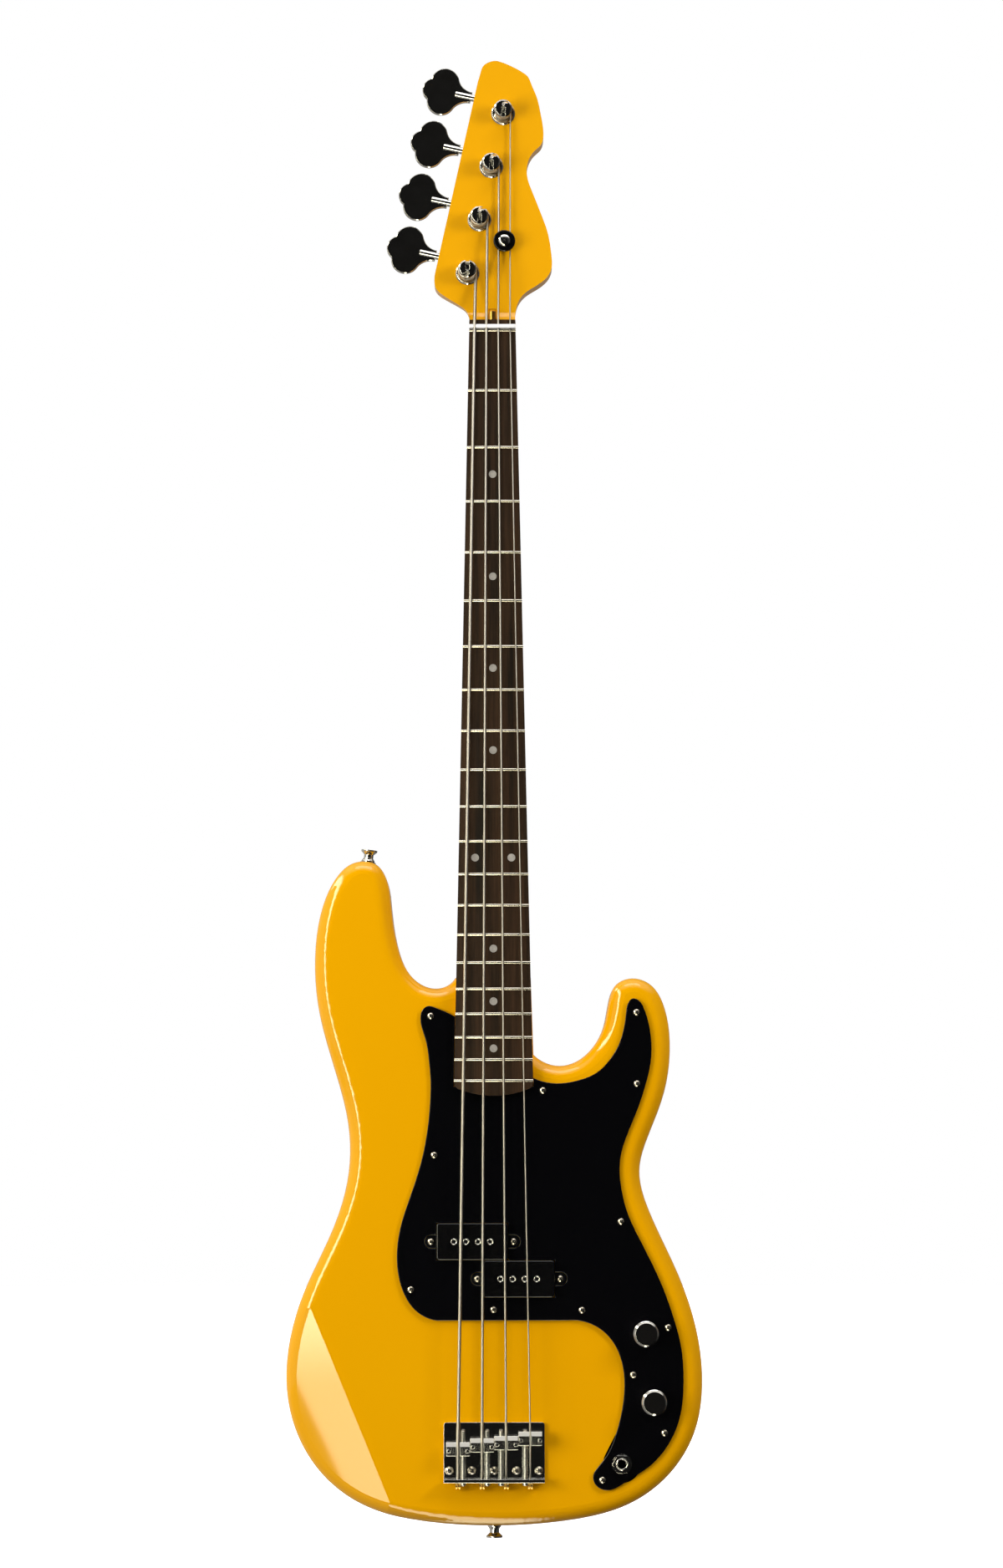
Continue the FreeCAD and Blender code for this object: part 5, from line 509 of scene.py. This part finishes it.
# Moulded black plastic: a touch softer in gloss than polished sheet, from the mould's fine grain, which is
# drawn coarse to show.
moulded, tree, shader = new_material("moulded_black_plastic")
spot = add_node(tree, "TexCoord").outputs["Object"]
texture = add_node(tree, "TexNoise", {"Vector": spot, "Scale": per_metre(MOULD_GRAIN), "Detail": 2.0})
rounding = add_node(tree, "Bevel", {"Radius": MOULD_EDGE}, samples=EDGE_SAMPLES)
ripple = add_node(tree, "Bump", {
    "Height": texture, "Strength": 0.08, "Distance": 0.2 * MM, "Normal": rounding})
set_inputs(shader, {"Base Color": linear("050506"), "Roughness": 0.2, "Normal": ripple})
dress(moulded, "string_tree")
piece = lathe("string_tree_screw", DOME_PROFILE, (TREE_PLACE.x, TREE_TOP_Y, TREE_Z), FRONT, chrome)
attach(piece, "instrument")
dome_top = Vector((TREE_PLACE.x, TREE_TOP_Y - DOME_TOP, TREE_Z)) * MM
crosses("cross_string_tree", [dome_top], FRONT, TREE_CROSS, "instrument")
tree_axis = Vector((TREE_PLACE.x, 0, TREE_Z))
wood_spots = [corner.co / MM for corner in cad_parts["neck"].data.vertices]
back_y = max(spot.y for spot in wood_spots if (Vector((spot.x, 0, spot.z)) - tree_axis).length < PIN_REACH)
piece = lathe("string_tree_hole_pin", [(PIN_RADIUS, -PIN_LENGTH), (PIN_RADIUS, -PIN_SINK)],
              (TREE_PLACE.x, back_y, TREE_Z), BACK, maple)
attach(piece, "instrument")

# Pickup: two staggered halves, each a coil on four magnet rods under a moulded cover with two ears.
# Each half hangs on two screws in the body, on a pad of open-cell foam that pushes it up.
POLE_RADIUS, POLE_SPACING, POLES = 2.47, 9.3, 4
CAP_RIM = ((0.0, -0.3), (0.0, 0.0), (0.15, 0.25), (0.4, 0.35), (0.65, 0.25), (0.8, 0.05))
CAP_MIDDLE = (0.4, 0.05)
GRIND_WIDTH, GRIND_LENGTH, FUZZ_SIZE = 0.3333, 3.333, 0.4545
PICKUP_CROSS = 1.2
PAD_BULGE, PAD_STEPS = 0.4, 6
# Ground magnet rods: dark grey metal with a scratched grain, drawn coarse to show.
magnet, tree, shader = new_material("ground_magnet_steel")
spot = add_node(tree, "TexCoord").outputs["Object"]
crosswise = add_node(tree, "Mapping", {
    "Vector": spot, "Scale": (per_metre(GRIND_WIDTH), per_metre(GRIND_LENGTH), per_metre(GRIND_LENGTH))})
grind = add_node(tree, "TexNoise", {"Vector": crosswise, "Scale": 1.0, "Detail": 2.0})
rough = add_node(tree, "MapRange", {"Value": grind, "To Min": 0.3, "To Max": 0.5})
set_inputs(shader, {"Base Color": linear("4E4E4C"), "Metallic": 1.0, "Roughness": rough})
# Felt, foam and cloth: black and matt, with a fibrous surface that breaks up the light. The fibres are drawn
# coarser than real ones, which are too fine to show.
felt, tree, shader = new_material("black_felt_and_foam")
spot = add_node(tree, "TexCoord").outputs["Object"]
fuzz = add_node(tree, "TexNoise", {"Vector": spot, "Scale": per_metre(FUZZ_SIZE), "Detail": 4.0})
fibrous = add_node(tree, "Mix", {0: fuzz, 6: linear("141414"), 7: linear("303030")}, data_type="RGBA")
ripple = add_node(tree, "Bump", {"Height": fuzz, "Strength": 0.6, "Distance": 0.5 * MM})
set_inputs(shader, {"Base Color": fibrous.outputs[2], "Roughness": 0.95, "Normal": ripple})
cap = [(POLE_RADIUS - inset, height) for inset, height in CAP_RIM] + [CAP_MIDDLE]
foam_low, foam_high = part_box("pickup_foam")
for half in ("bass", "treble"):
    dress(magnet, "pickup_coil_" + half)
    dress(moulded, "pickup_cover_" + half)
    dress(nickel, "pickup_screws_" + half)
    tops = screw_tops("pickup_screws_" + half, FRONT)
    crosses("crosses_pickup_screws_" + half, tops, FRONT, PICKUP_CROSS, "pickup_" + half)
    # The rods' polished ends have rounded rims, which show as bright rings.
    low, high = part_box("pickup_coil_" + half)
    for number in range(POLES):
        pole_x = (low.x + high.x) / 2 / MM + (number - (POLES - 1) / 2) * POLE_SPACING
        place = (pole_x, low.y / MM, (low.z + high.z) / 2 / MM)
        piece = lathe(f"pole_cap_{half}_{number}", cap, place, FRONT, chrome)
        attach(piece, "pickup_" + half)
    # The pad is as wide as the coil and bulges at its sides.
    middle = Vector(((low.x + high.x) / 2, (foam_low.y + foam_high.y) / 2, (low.z + high.z) / 2))
    spread = Vector(((high.x - low.x) / 2, (foam_high.y - foam_low.y) / 2, (high.z - low.z) / 2))
    pad = bmesh.new()
    bmesh.ops.create_cube(pad, size=2)
    bmesh.ops.subdivide_edges(pad, edges=pad.edges[:], cuts=PAD_STEPS, use_grid_fill=True)
    for corner in pad.verts:
        bulge = PAD_BULGE * MM * math.cos(math.pi / 2 * corner.co.y)
        out = Vector((corner.co.x, 0, corner.co.z)).normalized()
        corner.co = middle + corner.co * spread + out * bulge
    piece = new_piece("foam_pad_" + half, [], [], felt)
    pad.to_mesh(piece.data)
    pad.free()
    for face in piece.data.polygons:
        face.use_smooth = True
    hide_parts("pickup_foam")
    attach(piece, "instrument")

# Pickguard: a sheet of black plastic cut to a flowing outline and let round the neck and the pickup.
# Thirteen small screws hold it on the body, and it carries the controls and the jack.
GUARD_MARKS, GUARD_EDGE, GUARD_CROSS = 1.4286, 0.8 * MM, 1.2
# Polished black sheet: deep black with a clear reflection, dulled by fine swirl marks, drawn coarse to show.
guard_sheet, tree, shader = new_material("polished_black_sheet")
spot = add_node(tree, "TexCoord").outputs["Object"]
swirls = add_node(tree, "TexNoise", {"Vector": spot, "Scale": per_metre(GUARD_MARKS), "Detail": 3.0})
rough = add_node(tree, "MapRange", {"Value": swirls, "To Min": 0.1, "To Max": 0.2})
rounding = add_node(tree, "Bevel", {"Radius": GUARD_EDGE}, samples=EDGE_SAMPLES)
set_inputs(shader, {"Base Color": linear("050507"), "Roughness": rough, "Normal": rounding})
dress(guard_sheet, "pickguard")
dress(nickel, "pickguard_screws")
crosses("crosses_pickguard_screws", screw_tops("pickguard_screws", FRONT), FRONT, GUARD_CROSS, "instrument")

# Controls: volume and tone pots and an output jack, each fixed in the guard by a nut and a washer and wired
# below it. The knobs are turned metal caps on the pots' shafts, and the jack's mouth is a bright rounded lip.
MOTTLE_SIZE = 2.381
LIP_INNER, LIP_OUTER, LIP_RISE, LIP_DEPTH, LIP_CROWN = 3.3, 4.65, 0.6, 0.1, 0.3
# Zinc-plated steel: dull grey metal with a mottled plating.
zinc, tree, shader = new_material("zinc_plated_steel")
spot = add_node(tree, "TexCoord").outputs["Object"]
mottle = add_node(tree, "TexVoronoi", {"Vector": spot, "Scale": per_metre(MOTTLE_SIZE)})
rough = add_node(tree, "MapRange", {"Value": mottle.outputs["Distance"], "To Min": 0.24, "To Max": 0.42})
set_inputs(shader, {"Base Color": linear("B4B4B0"), "Metallic": 1.0, "Roughness": rough})
dress(zinc, "volume_pot", "tone_pot")
dress(felt, "wiring")
dress(crisp_chrome, "volume_knob", "tone_knob", "control_nuts", "output_jack")
mouth = [corner.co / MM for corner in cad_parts["output_jack"].data.vertices]
jack_y = min(spot.y for spot in mouth)
mouth = [spot for spot in mouth if spot.y - jack_y < LIP_DEPTH]
jack_x, jack_z = ((min(values) + max(values)) / 2 for values in zip(*((spot.x, spot.z) for spot in mouth)))
lip_middle = (LIP_INNER + LIP_OUTER) / 2
lip_profile = [
    (LIP_INNER, -LIP_DEPTH), (LIP_OUTER, -LIP_DEPTH), (LIP_OUTER, LIP_RISE / 3),
    (lip_middle + LIP_CROWN, LIP_RISE), (lip_middle - LIP_CROWN, LIP_RISE), (LIP_INNER, LIP_RISE / 3)]
piece = lathe("output_jack_lip", lip_profile, (jack_x, jack_y, jack_z), FRONT, chrome, hollow=True)
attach(piece, "instrument")

# Neck plate: a stamped chrome plate on the body's back, under the heads of four long screws.
# They go through the body into the neck's heel and pull the two together.
NECK_CROSS = 2.0
dress(chrome, "neck_plate")
dress(nickel, "neck_screws")
crosses("crosses_neck_screws", screw_tops("neck_screws", BACK), BACK, NECK_CROSS, "instrument")

# Bridge: a bent chrome plate with a rear lip, held on the body by five screws, with a saddle for each string.
# A long screw through the lip sets each saddle, and a steel spring round it presses the saddle forward.
BRIDGE_CROSS = 1.5
MIDDLE_STRING = (len(STRINGS) - 1) / 2
SCALE_LENGTH, BRIDGE_SPACING, SADDLE_SETBACKS = 863.6, 18.35, (5.6, 2.6, 0.9, -2.2)
LIP_REAR_Z, LIP_FRONT_Z = -896.2, -893.6
TOUCH, RING_SIDES = 0.05, 10
SPRING_WIRE, SPRING_RADIUS, SPRING_TURNS, SPRING_STEPS = 0.3, 2.05, 12, 20
SPRING_Y, SCREW_SIDE, SADDLE_REAR = -6.0, 3.9, 7.0


def tube(name, points, radius, material):
    """Round tube along points in millimetres, with its length in millimetres as its first texture axis."""
    spots = [Vector(point) * MM for point in points]
    ways = [(b - a).normalized() for a, b in zip(spots, spots[1:])]
    tangents = [ways[0]] + [(a + b).normalized() for a, b in zip(ways, ways[1:])] + [ways[-1]]
    side = tangents[0].orthogonal().normalized()
    verts, lengths, run = [], [], 0
    for number, (spot, tangent) in enumerate(zip(spots, tangents)):
        side = (side - tangent * side.dot(tangent)).normalized()
        other = tangent.cross(side)
        run += (spot - spots[number - 1]).length / MM if number else 0
        lengths.append(run)
        for step in range(RING_SIDES):
            angle = 2 * math.pi * step / RING_SIDES
            verts.append(spot + (side * math.cos(angle) + other * math.sin(angle)) * (radius * MM))
    faces, levels = [], []
    for ring in range(len(spots) - 1):
        for step in range(RING_SIDES):
            after = (step + 1) % RING_SIDES
            low, high = ring * RING_SIDES, (ring + 1) * RING_SIDES
            faces.append((low + step, low + after, high + after, high + step))
            levels.append((lengths[ring], lengths[ring], lengths[ring + 1], lengths[ring + 1]))
    last = (len(spots) - 1) * RING_SIDES
    faces += [tuple(reversed(range(RING_SIDES))), tuple(range(last, last + RING_SIDES))]
    levels += [[0] * RING_SIDES, [run] * RING_SIDES]
    piece = new_piece(name, verts, faces, material)
    texture = piece.data.uv_layers.new(name="length")
    for face, heights in zip(piece.data.polygons, levels):
        face.use_smooth = len(heights) == 4
        for corner, height in zip(face.loop_indices, heights):
            texture.data[corner].uv = (height, 0)
    return piece


dress(chrome, "bridge_plate")
dress(nickel, "bridge_screws")
crosses("crosses_bridge_screws", screw_tops("bridge_screws", FRONT), FRONT, BRIDGE_CROSS, "instrument")
for i, name in enumerate(STRINGS):
    dress(chrome, "saddle_" + name)
    dress(zinc, "intonation_screw_" + name)
    bridge_x = (i - MIDDLE_STRING) * BRIDGE_SPACING
    screw_x = bridge_x - math.copysign(SCREW_SIDE, bridge_x)
    low = LIP_FRONT_Z + TOUCH + SPRING_WIRE
    high = -SCALE_LENGTH - SADDLE_SETBACKS[i] - SADDLE_REAR - TOUCH - SPRING_WIRE
    coil = []
    for step in range(SPRING_TURNS * SPRING_STEPS + 1):
        share = step / (SPRING_TURNS * SPRING_STEPS)
        angle = 2 * math.pi * SPRING_TURNS * share
        coil.append((screw_x + SPRING_RADIUS * math.cos(angle), SPRING_Y + SPRING_RADIUS * math.sin(angle),
                     low + (high - low) * share))
    piece = tube(f"bridge_spring_{name}", coil, SPRING_WIRE, zinc)
    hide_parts("intonation_springs")
    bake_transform(piece)

# Strings: four roundwound steel strings from the bridge lip over saddle, zero fret and nut to the posts.
# The two thin ones pass under the string tree. Each goes two to four times round its post and into its slot.
# A grooved brass barrel behind the lip holds its other end.
STRING_DIAMETERS = (2.66, 2.16, 1.66, 1.14)
WRAP_PITCHES = (3.3, 2.7, 2.2, 1.7)
WRAP_TURNS = (1.633, 2.133, 3.133, 4.133)
TREE_STRINGS = (2, 3)
LIP_STRING_Y, CROWN_Y, STRING_RISE, BOARD_RADIUS = -1.4, -7.1, 4.2, 254.0
NUT_SPACING, NUT_EXIT_Z, FACE_Y = 9.33, 5.5, 6.5
FIRST_POST, POST_PITCH, ROW_LEAN = (-19.7, 49.7), 44.7, math.radians(12.3)
POST_RADIUS, FLANGE_HEIGHT, WRAP_GAP, FLANGE_GAP = 5.0, 2.0, 0.12, 0.3
LEVEL_RUN, BEND_RADIUS, END_RUN = 8.0, 4.0, 3.0
LEAVE_ANGLE = math.radians(42)
TURN_STEPS, BEND_STEPS = 28, 8
WIND_PITCH = 0.45
BALL_RADIUS, BALL_HALF, BALL_GROOVE, BALL_CHAMFER, BALL_FLOOR = 2.8, 2.0, 0.7, 0.4, 0.2


def rounded(points, radius):
    """Straight runs whose corners are turned by arcs."""
    out = [points[0]]
    for before, corner, after in zip(points, points[1:], points[2:]):
        inward, outward = (before - corner).normalized(), (after - corner).normalized()
        half = (math.pi - inward.angle(outward)) / 2
        bisector = (inward + outward).normalized()
        centre = corner + bisector * (radius / math.cos(half))
        across = (outward - inward).normalized()
        for step in range(BEND_STEPS + 1):
            angle = half * (2 * step / BEND_STEPS - 1)
            out.append(centre - bisector * (radius * math.cos(angle)) + across * (radius * math.sin(angle)))
    out.append(points[-1])
    return out


def string_route(i):
    """Tail behind the saddle, taut run to the post, and turns with their end in the post, in millimetres."""
    radius = STRING_DIAMETERS[i] / 2
    bridge_x, nut_x = (i - MIDDLE_STRING) * BRIDGE_SPACING, (i - MIDDLE_STRING) * NUT_SPACING
    arch = [BOARD_RADIUS - math.sqrt(BOARD_RADIUS ** 2 - x ** 2) for x in (bridge_x, nut_x)]
    saddle = Vector((bridge_x, CROWN_Y - STRING_RISE + arch[0] - radius, -SCALE_LENGTH - SADDLE_SETBACKS[i]))
    post = Vector((FIRST_POST[0] + math.sin(ROW_LEAN) * POST_PITCH * i, 0,
                   FIRST_POST[1] + math.cos(ROW_LEAN) * POST_PITCH * i))
    wrap_radius = POST_RADIUS + WRAP_GAP + radius
    wrap_y = FACE_Y - FLANGE_HEIGHT - FLANGE_GAP - radius
    wrap_x = post.x + wrap_radius
    # Past its hole the string stays straight for half the lip's thickness, then rises to the saddle.
    rise_z = (LIP_FRONT_Z * 3 - LIP_REAR_Z) / 2
    points = [
        Vector((bridge_x, LIP_STRING_Y, LIP_REAR_Z - TOUCH)),
        Vector((bridge_x, LIP_STRING_Y, rise_z)), saddle,
        Vector((nut_x, CROWN_Y + arch[1] - radius - TOUCH, NUT_EXIT_Z))]
    if i in TREE_STRINGS:
        for z in (TREE_Z - TREE_RADIUS, TREE_Z + TREE_RADIUS):
            share = z / (post.z - LEVEL_RUN)
            points.append(Vector((nut_x + (wrap_x - nut_x) * share, TREE_UNDER_Y + TOUCH + radius, z)))
    points += [Vector((wrap_x, wrap_y, post.z - LEVEL_RUN)), Vector((wrap_x, wrap_y, post.z))]
    path = rounded(points, BEND_RADIUS)
    # The tail ends in the middle of the second bend, on the saddle's crown.
    split = 1 + (BEND_STEPS + 1) + BEND_STEPS // 2
    full = 2 * math.pi * WRAP_TURNS[i]
    steps = math.ceil(WRAP_TURNS[i] * TURN_STEPS)
    turns = []
    for step in range(steps + 1):
        angle = full * step / steps
        height = WRAP_PITCHES[i] * WRAP_TURNS[i] * step / steps
        turns.append(Vector((post.x + wrap_radius * math.cos(angle), wrap_y - height,
                             post.z + wrap_radius * math.sin(angle))))
    # From its last turn the string bends in over the post and down into the slot.
    inner = wrap_radius * math.sin(LEAVE_ANGLE) / (1 + math.sin(LEAVE_ANGLE))
    reach = (wrap_radius - inner) * math.cos(LEAVE_ANGLE)
    outward = Vector((math.cos(full), 0, math.sin(full)))
    around = Vector((-math.sin(full), 0, math.cos(full)))
    centre = turns[-1] - outward * inner
    sweep = math.pi / 2 + LEAVE_ANGLE
    for step in range(1, BEND_STEPS + 1):
        angle = sweep * step / BEND_STEPS
        turns.append(centre + (outward * math.cos(angle) + around * math.sin(angle)) * inner)
    slot_way = Vector((math.cos(full + LEAVE_ANGLE), 0, math.sin(full + LEAVE_ANGLE)))
    bend = turns[-1] + Vector((0, reach, 0))
    for step in range(1, BEND_STEPS + 1):
        angle = math.pi / 2 * step / BEND_STEPS
        turns.append(bend - slot_way * (reach * math.sin(angle)) - Vector((0, reach * math.cos(angle), 0)))
    turns.append(turns[-1] + Vector((0, END_RUN, 0)))
    return path[:split + 1], path[split:], turns


# Roundwound steel: grey metal whose fine ridges of winding wire break the shine along its length.
wound, tree, shader = new_material("roundwound_steel")
along = add_node(tree, "SeparateXYZ", {"Vector": add_node(tree, "TexCoord").outputs["UV"]})
phase = add_node(tree, "Math", {0: along.outputs["X"], 1: 2 * math.pi / WIND_PITCH}, operation="MULTIPLY")
ridges = add_node(tree, "Math", {0: phase}, operation="SINE")
ripple = add_node(tree, "Bump", {"Height": ridges, "Strength": 0.5, "Distance": 0.1 * MM})
set_inputs(shader, {"Base Color": linear("AEAAA4"), "Metallic": 1.0, "Roughness": 0.28, "Normal": ripple})
ball_groove = BALL_RADIUS - BALL_GROOVE
ball_profile = [
    (BALL_RADIUS - BALL_CHAMFER, -BALL_HALF), (BALL_RADIUS, -BALL_HALF + BALL_CHAMFER),
    (BALL_RADIUS, -BALL_GROOVE), (ball_groove, -BALL_FLOOR), (ball_groove, BALL_FLOOR),
    (BALL_RADIUS, BALL_GROOVE), (BALL_RADIUS, BALL_HALF - BALL_CHAMFER),
    (BALL_RADIUS - BALL_CHAMFER, BALL_HALF)]
for i, name in enumerate(STRINGS):
    tail, taut, turns = string_route(i)
    for label, points in (("tail", tail), ("taut", taut), ("turns", turns)):
        piece = tube(f"string_{name}_{label}", points, STRING_DIAMETERS[i] / 2, wound)
        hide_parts("string_" + name)
        if label == "tail":
            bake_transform(piece)
        elif label == "taut":
            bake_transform(piece)
        else:
            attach(piece, "post_" + name)
    place = ((i - MIDDLE_STRING) * BRIDGE_SPACING, LIP_STRING_Y, LIP_REAR_Z - TOUCH - BALL_RADIUS)
    piece = lathe(f"ball_end_{name}", ball_profile, place, (1, 0, 0), brass)
    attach(piece, "instrument")

# Strap buttons: two turned chrome buttons for a strap, at the bass horn and at the tail.
# Each is fixed by one screw, with a black felt washer between it and the lacquer.
dress(chrome, "strap_buttons")
dress(nickel, "strap_screws")
dress(felt, "strap_felts")
